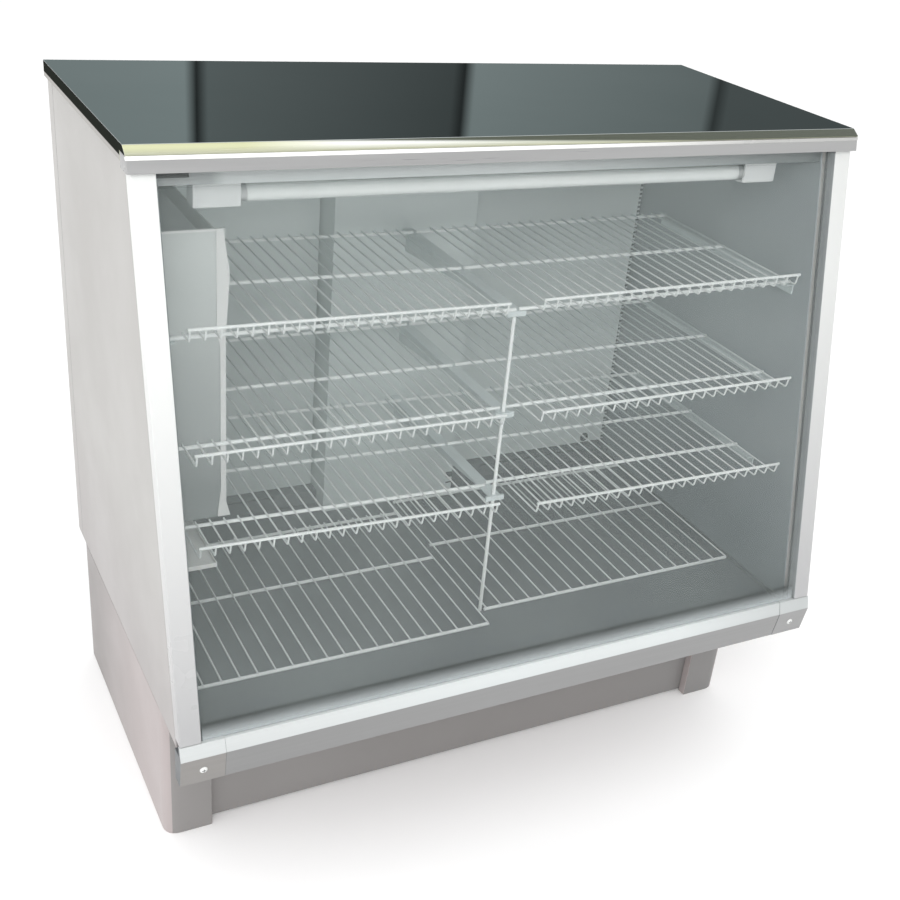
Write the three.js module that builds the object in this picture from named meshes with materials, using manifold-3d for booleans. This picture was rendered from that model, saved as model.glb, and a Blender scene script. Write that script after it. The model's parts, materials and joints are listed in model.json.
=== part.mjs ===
import * as THREE from 'three';
import { mergeVertices } from 'three/addons/utils/BufferGeometryUtils.js';
import Module from 'manifold-3d';

// A refrigerated counter display case with a sloping glass front, wire shelves and two
// hinged doors at the back. Lengths are millimetres and +Z is up. X runs across the case
// and Y from the shopper's side to the back. Places along Y are measured from the front
// face of the plinth, and the whole case is centred over its footprint at the very end.

// Whole case
const caseWidth = 1200;
const caseHeight = 1170;
const plinthDepth = 550;
const plinthHeight = 263;
const bodyStep = 35;
const wallThickness = 40;
const floorThickness = 52;
const roofThickness = 56;
const restGap = 0.3;
const overrun = 1;

// Sloping front
const frontLean = THREE.MathUtils.degToRad(11.658);
const postTopSetback = -4;
const postWidth = 33;
const postDepth = 24;
const glassThickness = 4;
const glassSetback = 6;
const airGap = 9;

// Worktop and fascia
const worktopOverhang = 6;
const worktopSheet = 2;
const worktopFold = 24;
const worktopStep = 8;
const nosingTop = 6;
const nosingFront = -7;
const nosingDrop = 9;
const fasciaFoot = -12;
const fasciaHeight = 22;

// Front rail
const railHeight = 74;
const railEdgeHeight = 52;
const railNose = 7;
const railTuck = 8;
const railRebate = 17;
const railLip = 4;
const capLength = 68;
const capOverhang = 1;

// Plinth
const plinthInset = 17;
const footWidth = 80;
const plinthPanel = 18;
const plinthCorner = 26;
const apronLift = 4;

// Shelves. A tier's level is the underside of its wires at the middle of the case, as a
// share of the height inside. The shelves lie loose, so each has its own place for the
// front bar, its own gap from the lip to the inner pane, and a small rise from the middle
// of the case to its outer end.
const wireThickness = 3;
const shelfBarThickness = 6;
const shelfWirePitch = 23;
const floorWirePitch = 30;
const shelfMiddleShare = 0.518;
const shelfSideGap = 5;
const lipBarThickness = 5;
const lipRise = 20;
const lipRun = 4;
const lowerTier = {
  name: 'lower',
  levelShare: 0.311,
  left: { bar: 55, lipGap: 48, rise: 13 },
  right: { bar: 63, lipGap: 30, rise: -6 },
};
const middleTier = {
  name: 'middle',
  levelShare: 0.5082,
  left: { bar: 35, lipGap: 26, rise: 3 },
  right: { bar: 36, lipGap: 19.5, rise: 1 },
};
const upperTier = {
  name: 'upper',
  levelShare: 0.7317,
  left: { bar: 20, lipGap: 15.5, rise: 5 },
  right: { bar: 21, lipGap: 18.5, rise: 4 },
};
const tiers = [lowerTier, middleTier, upperTier];

// Derived places
const bodyBack = plinthDepth - bodyStep;
const worktopBack = bodyBack - worktopStep;
const halfWidth = caseWidth / 2;
const innerHalf = halfWidth - wallThickness;
const plinthHalf = halfWidth - plinthInset;
const floorUnder = plinthHeight + restGap;
const floorTop = floorUnder + floorThickness;
const roofTop = caseHeight - worktopSheet - restGap;
const roofUnder = roofTop - roofThickness;
const worktopFoot = caseHeight - worktopFold;
const fasciaTop = caseHeight - nosingDrop - worktopSheet - restGap;
const fasciaBottom = fasciaTop - fasciaHeight;
const postTop = fasciaBottom - restGap;
const glassStack = glassThickness + airGap + glassThickness;

// Place along Y of the sloping plane that the posts' front faces share.
function slopeAt(height) {
  return postTopSetback - (fasciaBottom - height) * Math.tan(frontLean);
}
// The same plane moved back into the case, square to itself.
function behindSlope(height, setback) {
  return slopeAt(height) + setback / Math.cos(frontLean);
}

// The rail stands on the plinth and carries on the posts' front plane.
const railBottom = plinthHeight;
const railEdge = railBottom + railEdgeHeight;
const railTop = railBottom + railHeight;
const railTopFront = slopeAt(railTop);
const railEdgeFront = railTopFront - railNose;
const railBottomFront = railEdgeFront + railTuck;

function levelOf(tier) {
  return floorTop + tier.levelShare * (roofUnder - floorTop);
}

// Finishes
function finish(color, roughness, metalness, extra = {}) {
  return new THREE.MeshStandardMaterial({ color, roughness, metalness, ...extra });
}
const whiteEnamel = finish(0xdedcda, 0.4, 0.1);
const greyEnamel = finish(0x9b9896, 0.45, 0.1);
const postWhite = finish(0xf2f4f3, 0.35, 0.1);
const railAluminium = finish(0xd9dede, 0.35, 0.6);
const fasciaGrey = finish(0xaeb0b0, 0.35, 0.6);
const worktopSteel = finish(0x50585a, 0.12, 1);
const linerGrey = finish(0xa5acac, 0.5, 0.1);
const doorLiner = finish(0xb4bcbb, 0.45, 0.1);
const clearGlass = finish(0xdfe9e6, 0.05, 0, { transparent: true, opacity: 0.25 });
const whiteWire = finish(0xf1f3f2, 0.4, 0.1);
const bracketGrey = finish(0x7e8482, 0.5, 0.3);
const lampWhite = finish(0xf0f2ec, 0.3, 0);
const blackRubber = finish(0x1d1f20, 0.8, 0);
const coilAluminium = finish(0xb9bcbd, 0.4, 0.8);
const blackSteel = finish(0x1b1c1e, 0.45, 0.4);
const zincSteel = finish(0xa7a9a8, 0.4, 0.9);
const blackPlastic = finish(0x202123, 0.5, 0);

// Joining and cutting of closed meshes
const wasm = await Module();
wasm.setup();

function toSolid(geometry) {
  const bare = geometry.clone();
  bare.deleteAttribute('normal');
  bare.deleteAttribute('uv');
  const merged = mergeVertices(bare);
  const vertProperties = new Float32Array(merged.attributes.position.array);
  const triVerts = new Uint32Array(merged.index.array);
  return new wasm.Manifold(new wasm.Mesh({ numProp: 3, vertProperties, triVerts }));
}

function toGeometry(solid) {
  const mesh = solid.getMesh();
  const geometry = new THREE.BufferGeometry();
  geometry.setAttribute('position', new THREE.BufferAttribute(mesh.vertProperties, 3));
  geometry.setIndex(new THREE.BufferAttribute(mesh.triVerts, 1));
  geometry.computeVertexNormals();
  return geometry;
}

function join(pieces) {
  const solids = pieces.map(toSolid);
  return toGeometry(solids.slice(1).reduce((whole, solid) => whole.add(solid), solids[0]));
}

function cut(body, tools) {
  return toGeometry(tools.reduce((whole, tool) => whole.subtract(toSolid(tool)), toSolid(body)));
}

// Basic forms
function block([x0, x1], [y0, y1], [z0, z1]) {
  const geometry = new THREE.BoxGeometry(Math.abs(x1 - x0), Math.abs(y1 - y0), Math.abs(z1 - z0));
  return geometry.translate((x0 + x1) / 2, (y0 + y1) / 2, (z0 + z1) / 2);
}

function outlineShape(points) {
  return new THREE.Shape(points.map(([u, v]) => new THREE.Vector2(u, v)));
}

function extrudeShape(shape, depth, curveSegments = 8) {
  return new THREE.ExtrudeGeometry(shape, { depth, bevelEnabled: false, curveSegments });
}

// An outline of [y, z] points, drawn out along X between two places.
function alongX(points, [x0, x1]) {
  const axes = new THREE.Matrix4().makeBasis(
    new THREE.Vector3(0, 1, 0), new THREE.Vector3(0, 0, 1), new THREE.Vector3(1, 0, 0));
  const low = Math.min(x0, x1);
  return extrudeShape(outlineShape(points), Math.abs(x1 - x0)).applyMatrix4(axes).translate(low, 0, 0);
}

// An outline of [x, z] points, drawn out along Y between two places.
function alongY(points, [y0, y1]) {
  const axes = new THREE.Matrix4().makeBasis(
    new THREE.Vector3(1, 0, 0), new THREE.Vector3(0, 0, 1), new THREE.Vector3(0, -1, 0));
  return extrudeShape(outlineShape(points), y1 - y0).applyMatrix4(axes).translate(0, y1, 0);
}

// An outline of [x, y] points, drawn out upwards between two heights.
function alongZ(points, [z0, z1]) {
  return extrudeShape(outlineShape(points), z1 - z0).translate(0, 0, z0);
}

// A slab that follows the sloping front, with level ends.
function slopingSlab(xRange, setback, thickness, [low, high]) {
  return alongX([
    [behindSlope(low, setback), low],
    [behindSlope(high, setback), high],
    [behindSlope(high, setback + thickness), high],
    [behindSlope(low, setback + thickness), low],
  ], xRange);
}

// A round bar between two places along one axis.
function roundBar(axis, radius, [start, end], sides = 16) {
  const geometry = new THREE.CylinderGeometry(radius, radius, end - start, sides);
  geometry.translate(0, (start + end) / 2, 0);
  if (axis === 'x') geometry.rotateZ(-Math.PI / 2);
  if (axis === 'z') geometry.rotateX(Math.PI / 2);
  return geometry;
}

const displayCase = new THREE.Group();
const body = new THREE.Group();
displayCase.add(body);

function addPiece(name, material, geometry, place = [0, 0, 0], parent = body) {
  const mesh = new THREE.Mesh(geometry, material);
  mesh.name = name;
  mesh.position.set(...place);
  parent.add(mesh);
  return mesh;
}

const sides = [{ side: -1, word: 'left' }, { side: 1, word: 'right' }];

// Plinth: two side panels that turn the front corners, a recessed apron between the feet,
// a rear machine cover and the pan that carries the machine.
const rimRise = 8;
const bevelRise = 40;
const panHeight = 20;
const panSheet = 4;
const apronThickness = 14;

function plinthSide(side) {
  const outer = side * plinthHalf;
  const inner = side * (plinthHalf - plinthPanel);
  const footEnd = side * (plinthHalf - footWidth);
  const shape = new THREE.Shape();
  shape.moveTo(outer, plinthDepth);
  shape.lineTo(outer, plinthCorner);
  shape.quadraticCurveTo(outer, 0, outer - side * plinthCorner, 0);
  shape.lineTo(footEnd, 0);
  shape.lineTo(footEnd, plinthPanel);
  shape.lineTo(inner, plinthPanel);
  shape.lineTo(inner, plinthDepth);
  return extrudeShape(shape, plinthHeight, 6);
}

for (const { side, word } of sides) {
  addPiece(`plinth_side_${word}`, greyEnamel, plinthSide(side));
}

const plinthInner = plinthHalf - plinthPanel - restGap;
const apronFront = plinthPanel + restGap;
const apronBack = apronFront + apronThickness;
addPiece('plinth_apron', greyEnamel,
  block([-plinthInner, plinthInner], [apronFront, apronBack], [apronLift, plinthHeight]));

const coverFront = plinthDepth - plinthPanel;
addPiece('machine_pan', zincSteel,
  block([-plinthInner, plinthInner], [apronBack + restGap, coverFront - restGap],
    [panHeight, panHeight + panSheet]));

// Rear machine cover with air slots and a pocket that keeps the controls flush.
const slotCount = 9;
const slotWidth = 9;
const slotPitch = 18;
const slotFoot = 60;
const slotHeadroom = 53;
const slotHeight = plinthHeight - slotFoot - slotHeadroom;
const pocketInset = 94.7;
const pocketLeft = -plinthInner + pocketInset;
const pocketWidth = 210;
const pocketFoot = 100;
const pocketHeight = 80;
const pocketFloor = 4;
const switchWidth = 14;
const switchRadius = 10;
const switchPlace = pocketLeft + pocketWidth / 2;
const controlHeight = pocketFoot + pocketHeight / 2;
const pocketFace = coverFront + pocketFloor;
const inletWidth = 28;
const inletHeight = 21;
const inletDepth = 20;
const inletWall = 2.5;
const inletFlange = 2.5;
const inletBorder = 5;
const prongWidth = 2;
const prongHeight = 4;
const prongLength = 11;
const inletPlace = pocketLeft + pocketWidth * 4 / 5;
const compressorInset = 234.7;
const compressorX = plinthInner - compressorInset;
const slotBankShift = 30;
const slotBankCentre = compressorX - slotBankShift;

function machineCover() {
  const plate = block([-plinthInner, plinthInner], [coverFront, plinthDepth], [apronLift, plinthHeight]);
  const tools = [];
  for (let i = 0; i < slotCount; i += 1) {
    const centre = slotBankCentre + (i - (slotCount - 1) / 2) * slotPitch;
    tools.push(block([centre - slotWidth / 2, centre + slotWidth / 2],
      [coverFront - overrun, plinthDepth + overrun], [slotFoot, slotFoot + slotHeight]));
  }
  tools.push(block([pocketLeft, pocketLeft + pocketWidth], [coverFront + pocketFloor, plinthDepth + overrun],
    [pocketFoot, pocketFoot + pocketHeight]));
  const holes = [
    { place: switchPlace, halfX: switchWidth / 2 + restGap, halfZ: switchRadius + restGap },
    { place: inletPlace, halfX: inletWidth / 2 + restGap, halfZ: inletHeight / 2 + restGap },
  ];
  for (const { place, halfX, halfZ } of holes) {
    tools.push(block([place - halfX, place + halfX], [coverFront - overrun, pocketFace + overrun],
      [controlHeight - halfZ, controlHeight + halfZ]));
  }
  return cut(plate, tools);
}
addPiece('machine_cover', greyEnamel, machineCover());

// Controls in the pocket: thermostat knob, light switch and power inlet.
const knobRadius = 20;
const knobDepth = 12;
const knobPlace = pocketLeft + pocketWidth / 5;
const gripWidth = 7;
const gripShare = 0.9;

function thermostatKnob() {
  const disc = roundBar('y', knobRadius, [0, knobDepth / 2], 24);
  const reach = gripShare * knobRadius;
  const grip = block([-gripWidth / 2, gripWidth / 2], [knobDepth / 4, knobDepth], [-reach, reach]);
  return join([disc, grip]);
}
addPiece('thermostat_knob', blackPlastic, thermostatKnob(), [knobPlace, pocketFace + restGap, controlHeight]);

// The rocker is a round drum with a shallow V for its face, and it rests on one side.
const rockerTilt = THREE.MathUtils.degToRad(12);
const rockerFace = THREE.MathUtils.degToRad(17);
const rockerValleyShare = 0.05;
const rockerSteps = 12;
function lightSwitch() {
  const points = [[rockerValleyShare * switchRadius, 0]];
  const start = Math.PI / 2 - rockerFace;
  for (let i = 0; i <= rockerSteps; i += 1) {
    const angle = start + (2 * Math.PI - 2 * start) * i / rockerSteps;
    points.push([switchRadius * Math.cos(angle), switchRadius * Math.sin(angle)]);
  }
  return alongX(points, [-switchWidth / 2, switchWidth / 2]);
}
const rocker = addPiece('light_switch', blackPlastic, lightSwitch(),
  [switchPlace, coverFront + pocketFloor / 2, controlHeight]);
rocker.rotation.x = -rockerTilt;

// A box with a flange on the pocket's floor, and three prongs in its mouth.
function powerInlet() {
  const halfX = inletWidth / 2;
  const halfZ = inletHeight / 2;
  const housing = block([-halfX, halfX], [inletFlange - inletDepth, inletFlange], [-halfZ, halfZ]);
  const flange = block([-halfX - inletBorder, halfX + inletBorder], [0, inletFlange],
    [-halfZ - inletBorder, halfZ + inletBorder]);
  const mouth = block([-halfX + inletWall, halfX - inletWall],
    [inletFlange - inletDepth + inletWall, inletFlange + overrun], [-halfZ + inletWall, halfZ - inletWall]);
  const prongs = [-1, 0, 1].map((step) => {
    const x = step * inletWidth / 4;
    const z = step === 0 ? inletHeight / 8 : -inletHeight / 8;
    return block([x - prongWidth / 2, x + prongWidth / 2],
      [inletFlange - inletDepth + inletWall / 2, inletFlange - inletDepth + inletWall + prongLength],
      [z - prongHeight / 2, z + prongHeight / 2]);
  });
  return join([cut(join([housing, flange]), [mouth]), ...prongs]);
}
addPiece('power_inlet', blackPlastic, powerInlet(), [inletPlace, pocketFace + restGap, controlHeight]);

// Cooling machine on the pan: compressor, condenser and its fan.
const panTop = panHeight + panSheet + restGap;
const machineSetIn = 252;
const machineY = coverFront - machineSetIn;
const compressorRadius = 82;
const compressorFoot = 14;
const compressorHeadroom = 54.7;
const compressorHeight = plinthHeight - panTop - compressorFoot - compressorHeadroom;
const domeShares = [[1, 0.64], [0.93, 0.76], [0.72, 0.88], [0.35, 1]];
const condenserReach = 310;
const condenserX = compressorX - condenserReach;
const condenserDepth = 50;
const condenserWidth = 250;
const condenserHeadroom = 38.7;
const condenserHeight = plinthHeight - panTop - condenserHeadroom;
const finCount = 9;
const finGroove = 6;
const fanRadiusShare = 0.425;
const fanRadius = fanRadiusShare * condenserHeight;
const fanDepth = 28;
const fanBlades = 4;
const bladeThickness = 3;
const bladeTilt = Math.PI / 8;
const bladeRootShare = 0.8;
const hubRadius = 20;
const fanHeightShare = 0.55;
const fanHeight = fanHeightShare * condenserHeight;
const motorRadius = 32;
const motorLength = 46;
const shaftRadius = 4;

function compressor() {
  const dome = domeShares.map(([r, z]) => [r * compressorRadius, z * compressorHeight]);
  const profile = [[0, 0], [compressorRadius, 0], ...dome, [0, compressorHeight]].map(
    ([r, z]) => new THREE.Vector2(r, z));
  const shell = new THREE.LatheGeometry(profile, 24).rotateX(Math.PI / 2).translate(0, 0, compressorFoot);
  const reach = compressorRadius;
  const base = block([-reach, reach], [-reach, reach], [0, compressorFoot + overrun]);
  return join([shell, base]);
}
addPiece('compressor', blackSteel, compressor(), [compressorX, machineY, panTop]);

function condenser() {
  const core = block([0, condenserDepth], [-condenserWidth / 2, condenserWidth / 2], [0, condenserHeight]);
  const pitch = condenserWidth / (finCount + 1);
  const grooves = [];
  for (let i = 1; i <= finCount; i += 1) {
    const y = -condenserWidth / 2 + i * pitch;
    const depth = condenserDepth / 4;
    grooves.push(block([-overrun, depth], [y - finGroove / 2, y + finGroove / 2],
      [finGroove, condenserHeight - finGroove]));
  }
  return cut(core, grooves);
}
addPiece('condenser', coilAluminium, condenser(), [condenserX, machineY, panTop]);

const fanX = condenserX + condenserDepth + fanDepth;
function condenserFan() {
  const hub = roundBar('x', hubRadius, [-fanDepth / 2, fanDepth / 2], 20);
  const blades = [];
  for (let i = 0; i < fanBlades; i += 1) {
    const blade = block([-bladeThickness / 2, bladeThickness / 2], [-fanRadius / 3, fanRadius / 3],
      [bladeRootShare * hubRadius, fanRadius]);
    blade.rotateZ(bladeTilt);
    blade.rotateX(i * 2 * Math.PI / fanBlades);
    blades.push(blade);
  }
  const rotor = join([hub, ...blades]);
  const socket = roundBar('x', shaftRadius + restGap, [0, fanDepth / 2 + overrun], 16);
  return cut(rotor, [socket]);
}
addPiece('condenser_fan', blackPlastic, condenserFan(), [fanX, machineY, panTop + fanHeight]);

function fanMotor() {
  const start = fanDepth / 2 + restGap;
  const can = roundBar('x', motorRadius, [start, start + motorLength], 20).translate(0, 0, fanHeight);
  const shaft = roundBar('x', shaftRadius, [fanDepth / 6, start + overrun], 16).translate(0, 0, fanHeight);
  const leg = block([start + motorLength / 3, start + 2 * motorLength / 3], [-motorRadius / 2, motorRadius / 2],
    [0, fanHeight]);
  const foot = block([start, start + motorLength], [-motorRadius, motorRadius], [0, panSheet]);
  return join([can, shaft, leg, foot]);
}
addPiece('fan_motor', blackSteel, fanMotor(), [fanX, machineY, panTop]);

// Insulated floor: it overhangs the plinth at the front, and its raised, bevelled edges
// bring the body out to its full width.
const railBack = behindSlope(railTop - railRebate, glassSetback + glassStack + restGap) + railLip;
const wallUnder = floorTop + rimRise + restGap;
function insulatedFloor() {
  const rim = floorTop + rimRise;
  const bevel = rim - bevelRise;
  return alongY([
    [-plinthHalf, floorUnder], [plinthHalf, floorUnder], [plinthHalf, bevel], [halfWidth, rim],
    [innerHalf, rim], [innerHalf, floorTop], [-innerHalf, floorTop], [-innerHalf, rim],
    [-halfWidth, rim], [-plinthHalf, bevel],
  ], [railBack + restGap, bodyBack]);
}
addPiece('insulated_floor', linerGrey, insulatedFloor());

// Side walls: insulated panels whose front edge follows the slope behind the posts.
function sideWall(side) {
  const foldClear = worktopSheet + restGap;
  const front = (height) => behindSlope(height, postDepth + restGap);
  const points = [
    [bodyBack, wallUnder], [bodyBack, worktopFoot - restGap],
    [worktopBack - foldClear, worktopFoot - restGap], [worktopBack - foldClear, roofTop],
    [front(postTop), roofTop], [front(postTop), postTop], [front(wallUnder), wallUnder],
  ];
  return alongX(points, [side * innerHalf, side * halfWidth]);
}
for (const { side, word } of sides) {
  addPiece(`side_wall_${word}`, whiteEnamel, sideWall(side));
}

// Roof panel and polished worktop with folded edges and a bevelled nosing.
const roofHalf = innerHalf - restGap;
const roofFront = behindSlope(fasciaBottom, postDepth);
const roofBack = worktopBack - worktopSheet - restGap;
addPiece('roof_panel', linerGrey, block([-roofHalf, roofHalf], [roofFront, roofBack], [roofUnder, roofTop]));

const worktopHalf = halfWidth + worktopOverhang;
function worktop() {
  const under = caseHeight - nosingDrop - worktopSheet;
  const pan = alongX([
    [worktopBack, worktopFoot], [worktopBack, caseHeight], [nosingTop, caseHeight],
    [nosingFront, caseHeight - nosingDrop], [nosingFront, under], [roofFront - restGap, under],
    [roofFront - restGap, worktopFoot],
  ], [-worktopHalf, worktopHalf]);
  const wall = worktopHalf - worktopSheet;
  const hollow = block([-wall, wall], [roofFront - restGap - overrun, worktopBack - worktopSheet],
    [worktopFoot - overrun, caseHeight - worktopSheet]);
  return cut(pan, [hollow]);
}
addPiece('worktop', worktopSteel, worktop());

function fascia() {
  const back = roofFront - restGap;
  return alongX([
    [fasciaFoot, fasciaBottom], [nosingFront, fasciaTop], [back, fasciaTop], [back, fasciaBottom],
  ], [-worktopHalf, worktopHalf]);
}
addPiece('fascia', fasciaGrey, fascia());

// Sloping posts, the two panes between them, and the rail that they stand on.
const postFoot = railTop + restGap;
const paneHalf = halfWidth - postWidth - restGap;
const paneFoot = railTop - railRebate + restGap;
for (const { side, word } of sides) {
  addPiece(`front_post_${word}`, postWhite,
    slopingSlab([side * (halfWidth - postWidth), side * halfWidth], 0, postDepth, [postFoot, postTop]));
}
addPiece('front_glass', clearGlass,
  slopingSlab([-paneHalf, paneHalf], glassSetback, glassThickness, [paneFoot, postTop]));
const innerPaneSetback = glassSetback + glassThickness + airGap;
addPiece('inner_glass', clearGlass,
  slopingSlab([-paneHalf, paneHalf], innerPaneSetback, glassThickness, [paneFoot, roofUnder - restGap]));

function railSection(grow = 0) {
  const rebate = railTop - railRebate;
  const glassFace = (height) => behindSlope(height, glassSetback) - restGap;
  return [
    [railBottomFront - grow, railBottom], [railEdgeFront - grow, railEdge],
    [railTopFront, railTop], [glassFace(railTop), railTop], [glassFace(rebate), rebate],
    [railBack, rebate], [railBack, railBottom],
  ];
}
const railHalf = halfWidth - capLength;
addPiece('front_rail', railAluminium, alongX(railSection(), [-railHalf, railHalf]));

// End caps of the rail, each held by a dome-headed screw in its front face.
const screwRadius = 6;
const screwDome = 2.2;
const screwShank = 2.5;
const screwLength = 16;
const railFaceTilt = Math.atan2(railBottomFront - railEdgeFront, railEdge - railBottom);
const screwPlace = [halfWidth - capLength / 2, (railBottomFront + railEdgeFront) / 2, (railBottom + railEdge) / 2];

function turnedToRailFace(geometry, side) {
  return geometry.rotateX(railFaceTilt).translate(side * screwPlace[0], screwPlace[1], screwPlace[2]);
}
function screw() {
  const rings = 4;
  const profile = [new THREE.Vector2(0, -screwLength), new THREE.Vector2(screwShank, -screwLength),
    new THREE.Vector2(screwShank, restGap), new THREE.Vector2(screwRadius, restGap)];
  for (let i = 1; i <= rings; i += 1) {
    const angle = i * Math.PI / 2 / rings;
    profile.push(new THREE.Vector2(screwRadius * Math.cos(angle), restGap + screwDome * Math.sin(angle)));
  }
  profile[profile.length - 1].x = 0;
  return new THREE.LatheGeometry(profile, 16).rotateX(Math.PI);
}
for (const { side, word } of sides) {
  const cap = alongX(railSection(restGap), [side * (railHalf + restGap), side * (halfWidth + capOverhang)]);
  const bore = turnedToRailFace(roundBar('y', screwShank + restGap, [-screwRadius, screwLength + restGap]), side);
  addPiece(`rail_cap_${word}`, railAluminium, cut(cap, [bore]));
  addPiece(`cap_screw_${word}`, zincSteel, turnedToRailFace(screw(), side));
}

// Back of the body: sill with its door pins, header with a hood, and the centre pillar.
const pillarHalf = 143;
const pillarDepth = 77;
const pillarFront = bodyBack - pillarDepth;
const frameDepth = 37;
const thresholdRise = 30.7;
const thresholdTop = floorTop + thresholdRise;
const sillRise = 2.7;
const sillTop = floorTop + sillRise;
const headerDepth = 31.7;
const headerUnder = roofUnder - headerDepth;
const hoodHeight = 39.7;
const hoodTop = worktopFoot - restGap;
const hoodUnder = hoodTop - hoodHeight;
const frameFront = bodyBack - frameDepth;
const pinRadius = 4;
const pinLength = 14;
const pinInset = 8;
const pinBack = 10;
const pinX = plinthHalf - restGap - pinInset;
const pinY = plinthDepth - pinBack;
const hoodBack = plinthDepth;

function doorPin([low, high], side) {
  return roundBar('z', pinRadius, [low, high], 16).translate(side * pinX, pinY, 0);
}
function rearSill() {
  const inside = innerHalf - restGap;
  const outside = plinthHalf;
  const back = bodyBack + restGap;
  const middle = alongX([
    [frameFront, floorTop + restGap], [back, floorTop + restGap], [back, floorUnder],
    [plinthDepth, floorUnder], [plinthDepth, sillTop], [bodyBack, sillTop],
    [bodyBack, thresholdTop], [frameFront, thresholdTop],
  ], [-inside, inside]);
  const ends = sides.map(({ side }) => block([side * (inside - overrun), side * outside],
    [back, plinthDepth], [floorUnder, sillTop]));
  const pins = sides.map(({ side }) => doorPin([sillTop - overrun, sillTop + pinLength], side));
  return join([middle, ...ends, ...pins]);
}
addPiece('rear_sill', zincSteel, rearSill());

function rearHeader() {
  const inside = innerHalf - restGap;
  const outside = plinthHalf;
  const back = bodyBack + restGap;
  const beam = block([-inside, inside], [frameFront, bodyBack], [headerUnder, roofUnder - restGap]);
  const riser = block([-inside, inside], [roofBack + restGap, back + overrun], [hoodUnder, hoodTop]);
  const hood = block([-outside, outside], [back, hoodBack], [hoodUnder, hoodTop]);
  const pins = sides.map(({ side }) => doorPin([hoodUnder - pinLength, hoodUnder + overrun], side));
  return join([beam, riser, hood, ...pins]);
}
addPiece('rear_header', whiteEnamel, rearHeader());

function centrePillar() {
  const shoulder = frameFront - restGap;
  const foot = floorTop + restGap;
  const top = roofUnder - restGap;
  return alongX([
    [pillarFront, foot], [shoulder, foot], [shoulder, thresholdTop + restGap],
    [bodyBack, thresholdTop + restGap], [bodyBack, headerUnder - restGap],
    [shoulder, headerUnder - restGap], [shoulder, top], [pillarFront, top],
  ], [-pillarHalf, pillarHalf]);
}
addPiece('centre_pillar', linerGrey, centrePillar());

// Hinged rear doors: insulated leaf with a raised inner panel, a gasket and a pull strip.
const doorOverlap = 20;
const doorThickness = 29;
const doorFloat = 0.3;
const plugClear = 4;
const plugDepth = 16;
const gasketWidth = 14;
const pullWidth = 24;
const pullLip = 5;
const doorFoot = sillTop + doorFloat;
const doorTop = hoodUnder - doorFloat;
const doorFront = plinthDepth - doorThickness;
const doorOuter = pinX + pinInset;
const doorInner = pillarHalf - doorOverlap;
const plugOuter = innerHalf - plugClear;
const plugInner = pillarHalf + plugClear;
const plugFoot = thresholdTop + plugClear;
const plugTop = headerUnder - plugClear;
const plugFront = bodyBack - plugDepth;

function doorLeaf(side) {
  const leaf = block([side * doorInner, side * doorOuter], [doorFront, plinthDepth], [doorFoot, doorTop]);
  const plug = block([side * plugInner, side * plugOuter], [plugFront, doorFront + overrun], [plugFoot, plugTop]);
  const reach = pinLength + restGap;
  const sockets = [[doorFoot - overrun, doorFoot + reach], [doorTop - reach, doorTop + overrun]].map(
    ([low, high]) => roundBar('z', pinRadius + restGap, [low, high], 16).translate(side * pinX, pinY, 0));
  return cut(join([leaf, plug]), sockets);
}
function doorGasket(side) {
  const front = bodyBack + restGap;
  const back = doorFront - restGap;
  const outer = block([side * (plugInner - restGap - gasketWidth), side * (plugOuter + restGap + gasketWidth)],
    [front, back], [plugFoot - restGap - gasketWidth, plugTop + restGap + gasketWidth]);
  const inner = block([side * (plugInner - restGap), side * (plugOuter + restGap)],
    [front - overrun, back + overrun], [plugFoot - restGap, plugTop + restGap]);
  return cut(outer, [inner]);
}
function doorPull(side) {
  const edge = doorInner - restGap;
  const free = edge - pullWidth;
  const points = [
    [edge, doorFront], [edge, plinthDepth], [free, plinthDepth], [free, plinthDepth - 2 * pullLip],
    [free + pullLip, plinthDepth - 2 * pullLip], [free + pullLip, plinthDepth - pullLip],
    [edge - pullLip, plinthDepth - pullLip], [edge - pullLip, doorFront],
  ].map(([x, y]) => [side * x, y]);
  return alongZ(points, [plugFoot, plugTop]);
}
for (const { side, word } of sides) {
  addPiece(`rear_door_${word}`, doorLiner, doorLeaf(side));
  addPiece(`door_gasket_${word}`, blackRubber, doorGasket(side));
  addPiece(`door_pull_${word}`, zincSteel, doorPull(side));
}

// Lamp under the roof, just behind the fascia.
const lampY = 64;
const lampRadius = 13;
const lampReach = 127;
const lampShift = -6;
const lampInner = innerHalf - lampReach;
const holderLength = 67;
const holderWidth = 30;
const holderWall = 14;
const holderHeight = 40.4;
const lampDrop = 24.8;
const lampHeight = roofUnder - lampDrop;

function lampHolder(side) {
  const outer = lampInner + holderLength;
  const top = roofUnder - restGap;
  const housing = block([side * lampInner, side * outer], [-holderWidth / 2, holderWidth / 2],
    [top - holderHeight, top]);
  const socket = roundBar('x', lampRadius + restGap, [lampInner - overrun, outer - holderWall], 24);
  if (side < 0) socket.rotateZ(Math.PI);
  return cut(housing, [socket.translate(0, 0, lampHeight)]);
}
for (const { side, word } of sides) {
  addPiece(`lamp_holder_${word}`, lampWhite, lampHolder(side), [lampShift, lampY, 0]);
}
const tubeHalf = lampInner + holderLength - holderWall - restGap;
addPiece('lamp_tube', lampWhite, roundBar('x', lampRadius, [-tubeHalf, tubeHalf], 24),
  [lampShift, lampY, lampHeight]);

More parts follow.
